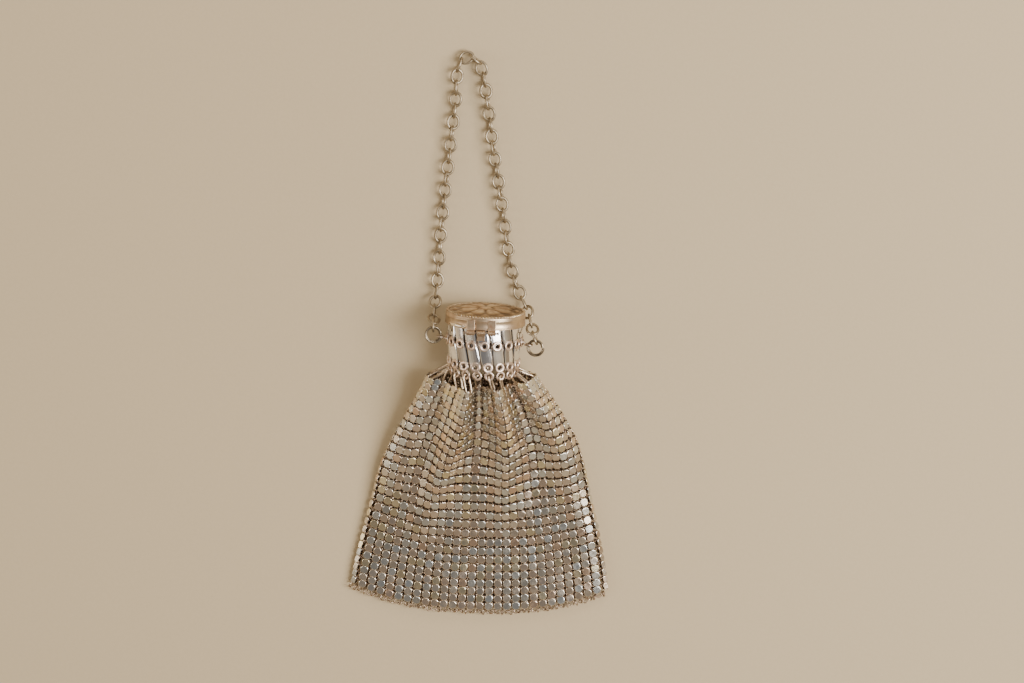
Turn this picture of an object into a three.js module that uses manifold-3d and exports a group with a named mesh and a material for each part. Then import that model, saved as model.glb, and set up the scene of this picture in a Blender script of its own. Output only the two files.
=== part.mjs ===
import * as THREE from 'three';
import { mergeVertices } from 'three/addons/utils/BufferGeometryUtils.js';
import Module from 'manifold-3d';

const wasm = await Module();
wasm.setup();

// A miniature mesh purse with a gate top, lying on its back: millimetres, +X to its right,
// +Y from the hem to the lid, +Z up. The floor is Z = 0 and the origin is on the flat back of the
// bag, halfway down it. The sizes below count Y from the row of eyes at the foot of the gate.

// Neck: the gate and lid share one axis, which lies level and turned a little in plan.
const NECK_X = -0.4;
const NECK_YAW = -2.4;
const LID_RADIUS = 13.4;
const LID_WALL = 0.38;
const LID_CLEARANCE = 0.45;
const STRIP_THICKNESS = 0.35;
const GATE_SWELL = 0.1;
const GATE_TAPER = 0.6;
const STRIPS = 18;
const ROW_PITCH = 7.45;
const EYE_DROP = 3.0;
const RADIUS_TOP = LID_RADIUS - LID_WALL - LID_CLEARANCE - STRIP_THICKNESS / 2;
const RADIUS_MIDDLE = RADIUS_TOP + GATE_SWELL;
const RADIUS_BOTTOM = RADIUS_TOP - GATE_TAPER;
const STRIP_PITCH = 2 * Math.PI * RADIUS_BOTTOM / STRIPS;

// Gate strips: thin plates, waisted at each rivet, whose widths are shares of the strips' pitch.
// Each outer strip leans right going down by a share of the pitch, and each inner strip leans left
// by the rest, so that they meet again at the next rivet.
const LAYER_GAP = 0.3;
const STRIP_WAIST = 0.36 * STRIP_PITCH;
const STRIP_BELLY = 0.448 * STRIP_PITCH;
const STRIP_END = 0.28 * STRIP_PITCH;
const INNER_HALF_WIDTH = 0.375 * STRIP_PITCH;
const INNER_END = 0.6 * INNER_HALF_WIDTH;
const OUTER_LEAN = 0.36;
const INNER_LEAN = OUTER_LEAN - 1;
const BELLY_FROM = 0.34;
const BELLY_TO = 0.66;
const EYE_RADIUS = 0.41 * STRIP_PITCH;
const EYE_HOLE = 0.205 * STRIP_PITCH;
const EYE_NECK = 0.18 * STRIP_PITCH;

// Rivets, headed outside and passed through the inner strip.
const RIVET_HEAD = 0.37 * STRIP_PITCH;
const RIVET_HEAD_HEIGHT = 0.25;
const RIVET_TUBE = 0.8;
const RIVET_TAIL = 0.35;
const RIVET_CLEARANCE = 0.3;
const RIVET_SIDES = 6;
const HEAD_SIDES = 6;
const EYE_SIDES = 8;

// Lid: a shallow cap with a corded rim and a raised rosette.
const LID_SKIRT = 4.1;
const LID_TOP_WALL = 0.4;
const LID_HEADROOM = 0.25;
const LID_DOME = 0.9;
const LID_CORD = 0.55;
const LID_SEGMENTS = 26;
const LEAVES = 8;
const LEAF_LENGTH = 0.236 * LID_RADIUS;
const LEAF_WIDTH = 0.11 * LID_RADIUS;
const LEAF_PLACE = 0.46 * LID_RADIUS;
const LEAF_RISE = 0.5;
const BOSS_RADIUS = 0.162 * LID_RADIUS;
const LIP_CENTRE = -46;
const LIP_SPAN = 34;
const LIP_REACH = 0.8;
const LIP_THICKNESS = 0.5;

// Hinge: a knuckle on the front strip between two knuckles on the lid.
const HINGE_X = -1.2;
const HINGE_DROP = 0.8;
const KNUCKLE_RADIUS = 0.8;
const KNUCKLE_LENGTH = 3.1;
const KNUCKLE_GAP = 0.4;
const HINGE_PIN = 0.3;
const HINGE_CLEARANCE = 0.15;
const HINGE_LEAF = 0.45;
const HINGE_LEAF_REACH = 2.8;
const PIN_HEAD = 0.55;
const LEAF_SINK = 0.2;
const LEAF_OVER = 0.35;
const WEB_OVERLAP = 0.5;
const LEAF_FOOT = 0.86;

// Chain eyes and rings, on the middle rivets at the two sides of the gate.
const SIDE_EYE_RADIUS = 1.15;
const SIDE_EYE_WIRE = 0.35;
const STUD_RADIUS = 0.7;
const SEAT_GAP = 0.3;
const RING_RADIUS = 2.5;
const RING_WIRE = 0.45;
const RING_CLEARANCE = 0.36;

// Chain: links lie flat and on edge by turns. The route runs from ring to ring, with its places
// across and its lift off the floor as shares of the lid's radius, and those along as shares of the
// chain's reach beyond the eyes.
const LINK_COUNT = 53;
const LINK_WIDTH = 4.6;
const LINK_WIRE = 0.45;
const LINK_FUSE = 0.08;
const LINK_SIDES = 10;
const WIRE_SIDES = 5;
const LINK_LEAN = 14;
const CHAIN_LIE = LINK_WIDTH / 2 + SEAT_GAP / 3;
const CHAIN_REACH = 104.9;
const CHAIN_ROUTE = [
  { across: -1.2761, along: 0.1611, lift: 0.6567 },
  { across: -1.2612, along: 0.1907, lift: 0.3433 },
  { across: -1.2313, along: 0.2288, lift: 0.0896 },
  { across: -1.1866, along: 0.2812, lift: 0.0000 },
  { across: -1.0821, along: 0.4576, lift: 0.0000 },
  { across: -0.9030, along: 0.6578, lift: 0.0000 },
  { across: -0.7164, along: 0.8551, lift: 0.0000 },
  { across: -0.6418, along: 0.9609, lift: 0.0000 },
  { across: -0.4478, along: 1.0000, lift: 0.0000 },
  { across: -0.1418, along: 0.9800, lift: 0.0000 },
  { across: 0.0224, along: 0.9018, lift: 0.0000 },
  { across: 0.2164, along: 0.7083, lift: 0.0000 },
  { across: 0.4478, along: 0.5138, lift: 0.0000 },
  { across: 0.6716, along: 0.3146, lift: 0.0000 },
  { across: 0.8134, along: 0.2526, lift: 0.0000 },
  { across: 0.9701, along: 0.2069, lift: 0.0821 },
  { across: 1.1082, along: 0.1697, lift: 0.3134 },
  { across: 1.1828, along: 0.1373, lift: 0.6418 },
];

// Bag: flattened mesh, open at the mouth and closed along the sides and hem.
const BAG_LENGTH = 88.2;
const BAG_HALF_WIDTH = 46.0;
const MOUTH_DROP = 2.9;
const BAG_MOUTH_HEIGHT = LID_RADIUS + RADIUS_BOTTOM - MOUTH_DROP;
const BAG_WALL = 1.2;
const BAG_MOUTH_Y = -3.6;
const BAG_COLUMNS = 16;
const HANGER_RADIUS = 0.42;
const HANGER_GAP = 0.3;
const HANGER_SINK = 1.2;
const RIM_MARGIN = 0.08;

// Sections of the bag, from the mouth to the hem. at is a share of the bag's length, left and right
// are shares of its half width, height and edge are shares of its height at the mouth.
const BAG_SECTIONS = [
  { at: 0.0, left: 0.435, right: 0.385, height: 0.97, edge: 0.46 },
  { at: 0.05, left: 0.475, right: 0.435, height: 0.94, edge: 0.4 },
  { at: 0.12, left: 0.535, right: 0.525, height: 0.83, edge: 0.3 },
  { at: 0.21, left: 0.622, right: 0.62, height: 0.68, edge: 0.22 },
  { at: 0.31, left: 0.715, right: 0.71, height: 0.53, edge: 0.15 },
  { at: 0.43, left: 0.805, right: 0.768, height: 0.39, edge: 0.11 },
  { at: 0.56, left: 0.868, right: 0.82, height: 0.28, edge: 0.09 },
  { at: 0.7, left: 0.94, right: 0.882, height: 0.21, edge: 0.08 },
  { at: 0.93, left: 1.038, right: 0.953, height: 0.155, edge: 0.072 },
  { at: 1.0, left: 1.013, right: 0.926, height: 0.145, edge: 0.07 },
];

// Folds of the front layer. from and to are places across the bag, from -1 at its left edge to 1 at
// its right, at the mouth and at the fold's end. reach is a share of the length, rise a share of the
// height at the mouth, width a share of the half section.
const BAG_FOLDS = [
  { from: -0.72, to: -0.56, reach: 0.58, rise: -0.15, width: 0.12 },
  { from: -0.24, to: -0.56, reach: 0.72, rise: 0.19, width: 0.12 },
  { from: -0.05, to: -0.1, reach: 0.46, rise: -0.16, width: 0.11 },
  { from: 0.3, to: 0.17, reach: 0.64, rise: 0.17, width: 0.1 },
  { from: 0.56, to: 0.5, reach: 0.58, rise: -0.16, width: 0.12 },
  { from: 0.8, to: 0.92, reach: 0.95, rise: 0.1, width: 0.12 },
];
const FOLD_FADE = 0.9;
const EDGE_POWER = 6;
const BAG_PROFILE_POWER = 2.6;
const BACK_FLAT = 0.72;
const HEM_BOW = 9.0;
const HEM_SLANT = -1.3;
const HEM_POWER = 2.4;
const WALL_TAPER = 0.12;
const SIDE_WALL = 1.6;
const MOUTH_BOW = 2.6;

// Places worked out from the sizes above.
const NECK_Z = LID_RADIUS;
const ROW_TOP = EYE_DROP + 2 * ROW_PITCH;
const ROW_MIDDLE = EYE_DROP + ROW_PITCH;
const ROW_BOTTOM = EYE_DROP;
const LID_CEILING = ROW_TOP + Math.max(STRIP_END, INNER_HALF_WIDTH) + LID_HEADROOM;
const LID_PLANE = LID_CEILING + LID_TOP_WALL;
const SKIRT_EDGE = LID_PLANE - LID_SKIRT;
const LAYER_STEP = STRIP_THICKNESS + LAYER_GAP;
const STRIP_ANGLE = 2 * Math.PI / STRIPS;
const HINGE_Y = SKIRT_EDGE - HINGE_DROP;
const HINGE_Z = RADIUS_MIDDLE + STRIP_THICKNESS / 2 + RIVET_HEAD_HEIGHT + SEAT_GAP + KNUCKLE_RADIUS;

const POLISHED = { color: 0xb9b3aa, roughness: 0.22, metalness: 1 };
const INNER_METAL = { color: 0x9c9184, roughness: 0.35, metalness: 1 };
const LID_METAL = { color: 0xb3a089, roughness: 0.32, metalness: 1 };
const MESH_METAL = { color: 0xc4bdb0, roughness: 0.25, metalness: 1 };
const CHAIN_METAL = { color: 0xa59478, roughness: 0.4, metalness: 1 };
const DARK_METAL = { color: 0x5d554c, roughness: 0.45, metalness: 1 };

// Solids and booleans
function solidOf(geometry) {
  const bare = geometry.clone();
  bare.deleteAttribute('normal');
  bare.deleteAttribute('uv');
  const merged = mergeVertices(bare, 1e-5);
  return new wasm.Manifold(new wasm.Mesh({
    numProp: 3,
    vertProperties: new Float32Array(merged.attributes.position.array),
    triVerts: new Uint32Array(merged.index.array),
  }));
}

function geometryOf(solid) {
  const mesh = solid.getMesh();
  const geometry = new THREE.BufferGeometry();
  geometry.setAttribute('position', new THREE.BufferAttribute(new Float32Array(mesh.vertProperties), 3));
  geometry.setIndex(new THREE.BufferAttribute(new Uint32Array(mesh.triVerts), 1));
  geometry.computeVertexNormals();
  return geometry;
}

function join(solids) {
  return solids.reduce((whole, solid) => whole.add(solid));
}

function named(name, geometry, metal) {
  const mesh = new THREE.Mesh(geometry, new THREE.MeshStandardMaterial(metal));
  mesh.name = name;
  return mesh;
}

// A rod between two points, with flat ends.
function rod(start, end, radius, sides) {
  const axis = end.clone().sub(start);
  const geometry = new THREE.CylinderGeometry(radius, radius, axis.length(), sides);
  const turn = new THREE.Quaternion().setFromUnitVectors(new THREE.Vector3(0, 1, 0), axis.normalize());
  geometry.applyQuaternion(turn);
  const middle = start.clone().add(end).multiplyScalar(0.5);
  geometry.translate(middle.x, middle.y, middle.z);
  return solidOf(geometry);
}

// Points on the neck's cylinders: the angle runs from the front, over to the right side.
function onNeck(angle, along, radius) {
  return new THREE.Vector3(radius * Math.sin(angle), along, radius * Math.cos(angle));
}

const ROWS = [
  { along: ROW_TOP, radius: RADIUS_TOP, side: -1 },
  { along: ROW_MIDDLE, radius: RADIUS_MIDDLE, side: 0 },
  { along: ROW_BOTTOM, radius: RADIUS_BOTTOM, side: 1 },
];

// Where a strip is riveted in one row: lean is how far it leans from row to row.
function pivot(strip, row, lean, depth) {
  const angle = (strip + lean * row.side) * STRIP_ANGLE;
  return onNeck(angle, row.along, row.radius - depth);
}

// The matrix that lays a flat half strip on the gate, from its middle rivet to an end rivet.
function halfStripFrame(start, end, lower) {
  const along = end.clone().sub(start).normalize();
  const outward = start.clone().add(end);
  outward.y = 0;
  outward.addScaledVector(along, -outward.dot(along)).normalize();
  if (lower) along.negate();
  const across = along.clone().cross(outward);
  const frame = new THREE.Matrix4().makeBasis(across, along, outward);
  return frame.setPosition(start);
}

// A strip's rivet places and the frames of its two halves, which meet at the middle rivet.
function stripLayout(strip, lean, depth) {
  const [top, middle, bottom] = ROWS.map((row) => pivot(strip, row, lean, depth));
  return {
    upper: halfStripFrame(middle, top, false),
    lower: halfStripFrame(middle, bottom, true),
    topAlong: middle.distanceTo(top),
    bottomAlong: -middle.distanceTo(bottom),
  };
}

// Bends a flat strip at its middle rivet and lays it on the gate.
function laidOnGate(flat, layout) {
  const geometry = geometryOf(flat);
  const position = geometry.attributes.position;
  const vertex = new THREE.Vector3();
  for (let index = 0; index < position.count; index += 1) {
    vertex.fromBufferAttribute(position, index);
    vertex.applyMatrix4(vertex.y < 0 ? layout.lower : layout.upper);
    position.setXYZ(index, vertex.x, vertex.y, vertex.z);
  }
  return solidOf(geometry);
}

function flatPlate(stations, thickness) {
  const right = stations.map(({ along, half }) => new THREE.Vector2(half, along));
  const left = stations.map(({ along, half }) => new THREE.Vector2(-half, along)).reverse();
  const shape = new THREE.Shape(right.concat(left));
  const geometry = new THREE.ExtrudeGeometry(shape, { depth: thickness, bevelEnabled: false });
  geometry.translate(0, 0, -thickness / 2);
  return solidOf(geometry);
}

// A prism standing through a flat strip, from one height to another.
function flatPeg(along, low, high, radius, sides) {
  const geometry = new THREE.CylinderGeometry(radius, radius, high - low, sides);
  geometry.rotateX(Math.PI / 2).translate(0, along, (low + high) / 2);
  return solidOf(geometry);
}

function eyeAlong(layout) {
  return layout.bottomAlong - EYE_DROP;
}

// Outer strips: belly between the rivets, the two open rivets in sight and the eye for the mesh
function outerStripSolid(strip) {
  const layout = stripLayout(strip, OUTER_LEAN, 0);
  const { topAlong, bottomAlong } = layout;
  const eye = eyeAlong(layout);
  const half = STRIP_THICKNESS / 2;
  const tail = -(LAYER_STEP + half + RIVET_TAIL);
  const pieces = [
    flatPlate([
      { along: eye + (EYE_RADIUS + EYE_HOLE) / 2, half: EYE_NECK },
      { along: bottomAlong, half: STRIP_WAIST },
      { along: bottomAlong * BELLY_TO, half: STRIP_BELLY },
      { along: bottomAlong * BELLY_FROM, half: STRIP_BELLY },
      { along: 0, half: STRIP_WAIST },
      { along: topAlong * BELLY_FROM, half: STRIP_BELLY },
      { along: topAlong * BELLY_TO, half: STRIP_BELLY },
      { along: topAlong + STRIP_END, half: STRIP_END },
    ], STRIP_THICKNESS),
    flatPeg(eye, -half, half, EYE_RADIUS, EYE_SIDES),
  ];
  for (const along of [0, bottomAlong]) {
    pieces.push(flatPeg(along, 0, half + RIVET_HEAD_HEIGHT, RIVET_HEAD, HEAD_SIDES));
    pieces.push(flatPeg(along, tail, 0, RIVET_TUBE, RIVET_SIDES));
  }
  return laidOnGate(join(pieces).subtract(flatPeg(eye, -1, 1, EYE_HOLE, RIVET_SIDES)), layout);
}

// Inner strips: plain, with a hole round each of those rivets
function innerStripSolid(strip) {
  const layout = stripLayout(strip, INNER_LEAN, LAYER_STEP);
  const { topAlong, bottomAlong } = layout;
  let flat = flatPlate([
    { along: bottomAlong - INNER_HALF_WIDTH, half: INNER_END },
    { along: bottomAlong, half: INNER_HALF_WIDTH },
    { along: topAlong, half: INNER_HALF_WIDTH },
    { along: topAlong + INNER_HALF_WIDTH, half: INNER_END },
  ], STRIP_THICKNESS);
  for (const along of [0, bottomAlong]) {
    flat = flat.subtract(flatPeg(along, -1, 1, RIVET_TUBE + RIVET_CLEARANCE, RIVET_SIDES));
  }
  return laidOnGate(flat, layout);
}

// Hinge knuckles, all on one axis across the front of the gate
function knuckle(centreX) {
  const half = KNUCKLE_LENGTH / 2;
  const start = new THREE.Vector3(centreX - half, HINGE_Y, HINGE_Z);
  const end = new THREE.Vector3(centreX + half, HINGE_Y, HINGE_Z);
  return rod(start, end, KNUCKLE_RADIUS, LINK_SIDES);
}

function hingeBore() {
  const reach = 2 * KNUCKLE_LENGTH;
  const start = new THREE.Vector3(HINGE_X - reach, HINGE_Y, HINGE_Z);
  const end = new THREE.Vector3(HINGE_X + reach, HINGE_Y, HINGE_Z);
  return rod(start, end, HINGE_PIN + HINGE_CLEARANCE, LINK_SIDES);
}

function block(x0, x1, y0, y1, z0, z1) {
  const geometry = new THREE.BoxGeometry(x1 - x0, y1 - y0, z1 - z0);
  geometry.translate((x0 + x1) / 2, (y0 + y1) / 2, (z0 + z1) / 2);
  return solidOf(geometry);
}

// The front strip carries the middle knuckle on a short leaf.
function hingeStripSolid() {
  const half = KNUCKLE_LENGTH / 2;
  const face = RADIUS_MIDDLE + STRIP_THICKNESS / 2;
  const leafFoot = HINGE_Y - HINGE_LEAF_REACH;
  const leaf = block(HINGE_X - half, HINGE_X + half, leafFoot, HINGE_Y, face - LEAF_SINK, face + HINGE_LEAF);
  const web = block(HINGE_X - half, HINGE_X + half, HINGE_Y - KNUCKLE_RADIUS + HINGE_CLEARANCE, HINGE_Y, face, HINGE_Z);
  return join([outerStripSolid(0), leaf, web, knuckle(HINGE_X)]).subtract(hingeBore());
}

function hingePinSolid() {
  const half = 1.5 * KNUCKLE_LENGTH + KNUCKLE_GAP;
  const start = new THREE.Vector3(HINGE_X - half - SEAT_GAP, HINGE_Y, HINGE_Z);
  const end = new THREE.Vector3(HINGE_X + half + SEAT_GAP, HINGE_Y, HINGE_Z);
  const cap = new THREE.Vector3(PIN_HEAD, 0, 0);
  return join([
    rod(start.clone().sub(cap), end.clone().add(cap), HINGE_PIN, LINK_SIDES),
    rod(start.clone().sub(cap), start, PIN_HEAD, LINK_SIDES),
    rod(end, end.clone().add(cap), PIN_HEAD, LINK_SIDES),
  ]);
}

// Lid: turned profile, rosette, thumb lip and two knuckles
function lidSolid() {
  const inner = LID_RADIUS - LID_WALL;
  const bead = LID_RADIUS - LID_CORD;
  const profile = [
    [0, LID_CEILING],
    [inner, LID_CEILING],
    [inner, SKIRT_EDGE],
    [LID_RADIUS, SKIRT_EDGE],
    [LID_RADIUS, LID_PLANE],
    [bead + LID_CORD * 0.7, LID_PLANE + LID_CORD * 0.8],
    [bead, LID_PLANE + LID_CORD],
    [bead - LID_CORD, LID_PLANE + LID_CORD * 0.2],
    [LID_RADIUS * 0.5, LID_PLANE + LID_DOME * 0.75],
    [0, LID_PLANE + LID_DOME],
  ];
  const points = profile.map(([radius, along]) => new THREE.Vector2(radius, along));
  const cap = solidOf(new THREE.LatheGeometry(points, LID_SEGMENTS));
  const pieces = [cap];

  for (let leaf = 0; leaf < LEAVES; leaf += 1) {
    const petal = new THREE.SphereGeometry(1, 6, 3);
    petal.scale(LEAF_WIDTH, LEAF_RISE * 2, LEAF_LENGTH);
    petal.translate(0, LID_PLANE + LID_DOME * 0.62, LEAF_PLACE);
    petal.rotateY(2 * Math.PI * (leaf + 0.5) / LEAVES);
    pieces.push(solidOf(petal));
  }
  const boss = new THREE.SphereGeometry(1, 8, 4);
  boss.scale(BOSS_RADIUS, LEAF_RISE * 2, BOSS_RADIUS);
  boss.translate(0, LID_PLANE + LID_DOME * 0.9, 0);
  pieces.push(solidOf(boss));

  const halfSpan = THREE.MathUtils.degToRad(LIP_SPAN / 2);
  const middle = THREE.MathUtils.degToRad(90 - LIP_CENTRE);
  const lip = new THREE.Shape();
  lip.absarc(0, 0, LID_RADIUS + LIP_REACH, middle - halfSpan, middle + halfSpan, false);
  lip.absarc(0, 0, LID_RADIUS - LID_WALL / 2, middle + halfSpan, middle - halfSpan, true);
  const lipGeometry = new THREE.ExtrudeGeometry(lip, {
    depth: LIP_THICKNESS, bevelEnabled: false, curveSegments: 5,
  });
  lipGeometry.rotateX(Math.PI / 2).translate(0, SKIRT_EDGE + LIP_THICKNESS, 0);
  pieces.push(solidOf(lipGeometry));

  const bore = new THREE.CylinderGeometry(inner, inner, LID_CEILING - SKIRT_EDGE + 2, LID_SEGMENTS);
  bore.translate(0, (LID_CEILING + SKIRT_EDGE) / 2 - 1.01, 0);
  const cavity = solidOf(bore);
  for (const side of [-1, 1]) {
    const centre = HINGE_X + side * (KNUCKLE_LENGTH + KNUCKLE_GAP);
    const half = KNUCKLE_LENGTH / 2;
    const top = LID_PLANE - LID_CORD;
    const low = LID_RADIUS * LEAF_FOOT;
    const leaf = block(centre - half, centre + half, SKIRT_EDGE, top, low, LID_RADIUS + LEAF_OVER);
    const web = block(centre - half, centre + half, HINGE_Y, SKIRT_EDGE + WEB_OVERLAP, LID_RADIUS, HINGE_Z);
    pieces.push(leaf.subtract(cavity), web, knuckle(centre));
  }
  return join(pieces).subtract(hingeBore());
}

// Which strip carries each side eye, how far the eye sits below that strip's middle rivet, and how
// its ring hangs from it: the direction to the ring's centre in plan, and its tilt, in degrees.
const RING_PLACES = {
  left: { strip: -4, drop: -0.8, fromEye: 164, tilt: 8 },
  right: { strip: 4, drop: 0.8, fromEye: -20, tilt: -8 },
};

// Side eyes: a ring on a stud that seats on the head of a middle rivet
function sideEyeCentre(place) {
  const seat = pivot(place.strip, ROWS[1], 0, 0);
  const out = new THREE.Vector3(seat.x, 0, seat.z).normalize();
  const reach = STRIP_THICKNESS / 2 + RIVET_HEAD_HEIGHT + SEAT_GAP + SIDE_EYE_RADIUS + 2 * SIDE_EYE_WIRE;
  const centre = seat.clone().addScaledVector(out, reach);
  centre.y -= place.drop;
  return { seat, out, centre };
}

function sideEyeSolid(place) {
  const { seat, out, centre } = sideEyeCentre(place);
  const ring = new THREE.TorusGeometry(SIDE_EYE_RADIUS, SIDE_EYE_WIRE, WIRE_SIDES, LINK_SIDES);
  ring.rotateX(Math.PI / 2).translate(centre.x, centre.y, centre.z);
  const face = seat.clone().addScaledVector(out, STRIP_THICKNESS / 2 + RIVET_HEAD_HEIGHT + SEAT_GAP);
  const rim = centre.clone().addScaledVector(face.clone().sub(centre).normalize(), SIDE_EYE_RADIUS);
  const stud = face.clone().addScaledVector(out, SIDE_EYE_WIRE);
  return join([solidOf(ring), rod(face, stud, STUD_RADIUS, RIVET_SIDES), rod(rim, face, SIDE_EYE_WIRE, WIRE_SIDES)]);
}


function ringCentre(place) {
  const { centre } = sideEyeCentre(place);
  const angle = THREE.MathUtils.degToRad(place.fromEye);
  return centre.clone().add(new THREE.Vector3(Math.cos(angle), Math.sin(angle), 0).multiplyScalar(RING_RADIUS));
}

function ringGeometry(place) {
  const { centre } = sideEyeCentre(place);
  const angle = THREE.MathUtils.degToRad(place.fromEye);
  const offset = new THREE.Vector3(Math.cos(angle), Math.sin(angle), 0).multiplyScalar(RING_RADIUS);
  const ring = new THREE.TorusGeometry(RING_RADIUS, RING_WIRE, WIRE_SIDES, LINK_SIDES + 2);
  ring.translate(offset.x, offset.y, offset.z);
  ring.rotateY(THREE.MathUtils.degToRad(place.tilt));
  ring.translate(centre.x, centre.y, centre.z);
  return ring;
}

// Chain: one link between each pair of neighbouring joints, turned a quarter from the last
function neckToWorld(point) {
  const yaw = THREE.MathUtils.degToRad(NECK_YAW);
  const turned = point.clone().applyAxisAngle(new THREE.Vector3(0, 0, 1), yaw);
  return turned.add(new THREE.Vector3(NECK_X, 0, NECK_Z));
}

// Where the end link bears on a ring: it comes round the wire on the side away from the chain.
function ringHook(place, next) {
  const wire = neckToWorld(ringCentre(place));
  wire.y += RING_RADIUS;
  const towards = next.clone().sub(wire).normalize();
  return wire.addScaledVector(towards, -(RING_WIRE + RING_CLEARANCE));
}

// An oval link whose wire has an edge inside, so that neighbours meet at one crossing of two edges.
function linkSolid(start, end, roll) {
  const along = end.clone().sub(start);
  const tip = along.length() / 2 + LINK_WIRE - LINK_FUSE;
  const side = LINK_WIDTH / 2 - LINK_WIRE;
  const ring = new THREE.TorusGeometry(1, LINK_WIRE, WIRE_SIDES, LINK_SIDES);
  const position = ring.attributes.position;
  const halfStep = Math.PI / LINK_SIDES;
  for (let index = 0; index < position.count; index += 1) {
    const flat = Math.hypot(position.getX(index), position.getY(index));
    const turn = Math.atan2(position.getY(index), position.getX(index)) + halfStep;
    const wire = Math.atan2(position.getZ(index), flat - 1) + Math.PI / WIRE_SIDES;
    const lift = LINK_WIRE * Math.cos(wire);
    const x = Math.cos(turn) * (tip / Math.cos(halfStep) + lift);
    position.setXYZ(index, x, Math.sin(turn) * (side + lift), LINK_WIRE * Math.sin(wire));
  }
  const forward = along.normalize();
  const level = new THREE.Vector3(0, 0, 1).cross(forward).normalize();
  const across = level.applyAxisAngle(forward, roll);
  const face = forward.clone().cross(across);
  const frame = new THREE.Matrix4().makeBasis(forward, across, face);
  frame.setPosition(start.clone().add(end).multiplyScalar(0.5));
  ring.applyMatrix4(frame);
  return solidOf(ring);
}

function chainSolid() {
  const route = CHAIN_ROUTE.map((stop) => new THREE.Vector3(
    stop.across * LID_RADIUS, stop.along * CHAIN_REACH, CHAIN_LIE + stop.lift * LID_RADIUS));
  const first = ringHook(RING_PLACES.left, route[0]);
  const last = ringHook(RING_PLACES.right, route[route.length - 1]);
  const stops = [first, ...route, last];
  const curve = new THREE.CatmullRomCurve3(stops, false, 'centripetal');
  curve.arcLengthDivisions = 1000;
  const joints = curve.getSpacedPoints(LINK_COUNT);
  const links = [];
  for (let index = 0; index < LINK_COUNT; index += 1) {
    const quarter = index % 2 === 0 ? Math.PI / 2 : 0;
    const lean = THREE.MathUtils.degToRad(LINK_LEAN) * Math.sin(index * 1.7);
    links.push(linkSolid(joints[index], joints[index + 1], quarter + lean));
  }
  return join(links);
}

// Bag surface
function between(table, at, key) {
  const next = Math.max(1, table.findIndex((row) => row.at >= at - 1e-9));
  const low = table[next - 1];
  const high = table[next];
  const share = (at - low.at) / (high.at - low.at);
  return low[key] + (high[key] - low[key]) * share;
}

// Height that the folds add to the front layer at a place across the bag.
function foldRise(across, at) {
  let rise = 0;
  for (const fold of BAG_FOLDS) {
    const run = at / fold.reach;
    if (run >= 1) continue;
    const middle = fold.from + (fold.to - fold.from) * run;
    const off = (across - middle) / fold.width;
    rise += fold.rise * (1 - run) ** FOLD_FADE * Math.exp(-off * off);
  }
  const edges = 1 - Math.abs(across) ** EDGE_POWER;
  return rise * BAG_MOUTH_HEIGHT * edges;
}

function section(at) {
  const left = between(BAG_SECTIONS, at, 'left') * BAG_HALF_WIDTH;
  const right = between(BAG_SECTIONS, at, 'right') * BAG_HALF_WIDTH;
  return {
    middle: (right - left) / 2,
    half: (right + left) / 2,
    height: between(BAG_SECTIONS, at, 'height') * BAG_MOUTH_HEIGHT,
    edge: between(BAG_SECTIONS, at, 'edge') * BAG_MOUTH_HEIGHT,
  };
}

function along(at, across) {
  const mouth = BAG_MOUTH_Y + MOUTH_BOW * across * across;
  const hem = BAG_MOUTH_Y - BAG_LENGTH + HEM_BOW * Math.abs(across) ** HEM_POWER + HEM_SLANT * across;
  return mouth + (hem - mouth) * at;
}

function frontPoint(at, across, inset) {
  const cut = section(at);
  const dome = (1 - Math.abs(across) ** BAG_PROFILE_POWER) ** (1 / BAG_PROFILE_POWER);
  const near = Math.min(1, (1 - Math.abs(across)) / WALL_TAPER);
  const z = cut.edge + (cut.height - cut.edge) * dome + foldRise(across, at) - inset * near;
  const x = cut.middle + (cut.half - inset * SIDE_WALL) * across;
  return new THREE.Vector3(x, along(at, across), z);
}

function backPoint(at, across, inset) {
  const cut = section(at);
  const past = Math.max(0, (Math.abs(across) - BACK_FLAT) / (1 - BACK_FLAT));
  const near = Math.min(1, (1 - Math.abs(across)) / WALL_TAPER);
  const z = cut.edge * past * past + inset * near;
  const x = cut.middle + (cut.half - inset * SIDE_WALL) * across;
  return new THREE.Vector3(x, along(at, across), z);
}

// Columns lie evenly along the folded section, as the real mesh's columns do.
function columnPlaces(at) {
  const steps = 240;
  const lengths = [0];
  let last = frontPoint(at, -1, 0);
  for (let index = 1; index <= steps; index += 1) {
    const next = frontPoint(at, -1 + 2 * index / steps, 0);
    lengths.push(lengths[index - 1] + Math.hypot(next.x - last.x, next.z - last.z));
    last = next;
  }
  const places = [];
  for (let column = 0; column <= BAG_COLUMNS; column += 1) {
    const wanted = lengths[steps] * column / BAG_COLUMNS;
    const over = Math.max(1, lengths.findIndex((length) => length >= wanted - 1e-9));
    const share = (wanted - lengths[over - 1]) / (lengths[over] - lengths[over - 1]);
    places.push(-1 + 2 * (over - 1 + share) / steps);
  }
  return places;
}

// One closed loop of points: the front layer from left to right, then the back layer returning.
function loop(at, inset) {
  const places = columnPlaces(at);
  const front = places.map((across) => frontPoint(at, across, inset));
  const back = places.slice(1, -1).reverse().map((across) => backPoint(at, across, inset));
  return front.concat(back);
}

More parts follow.
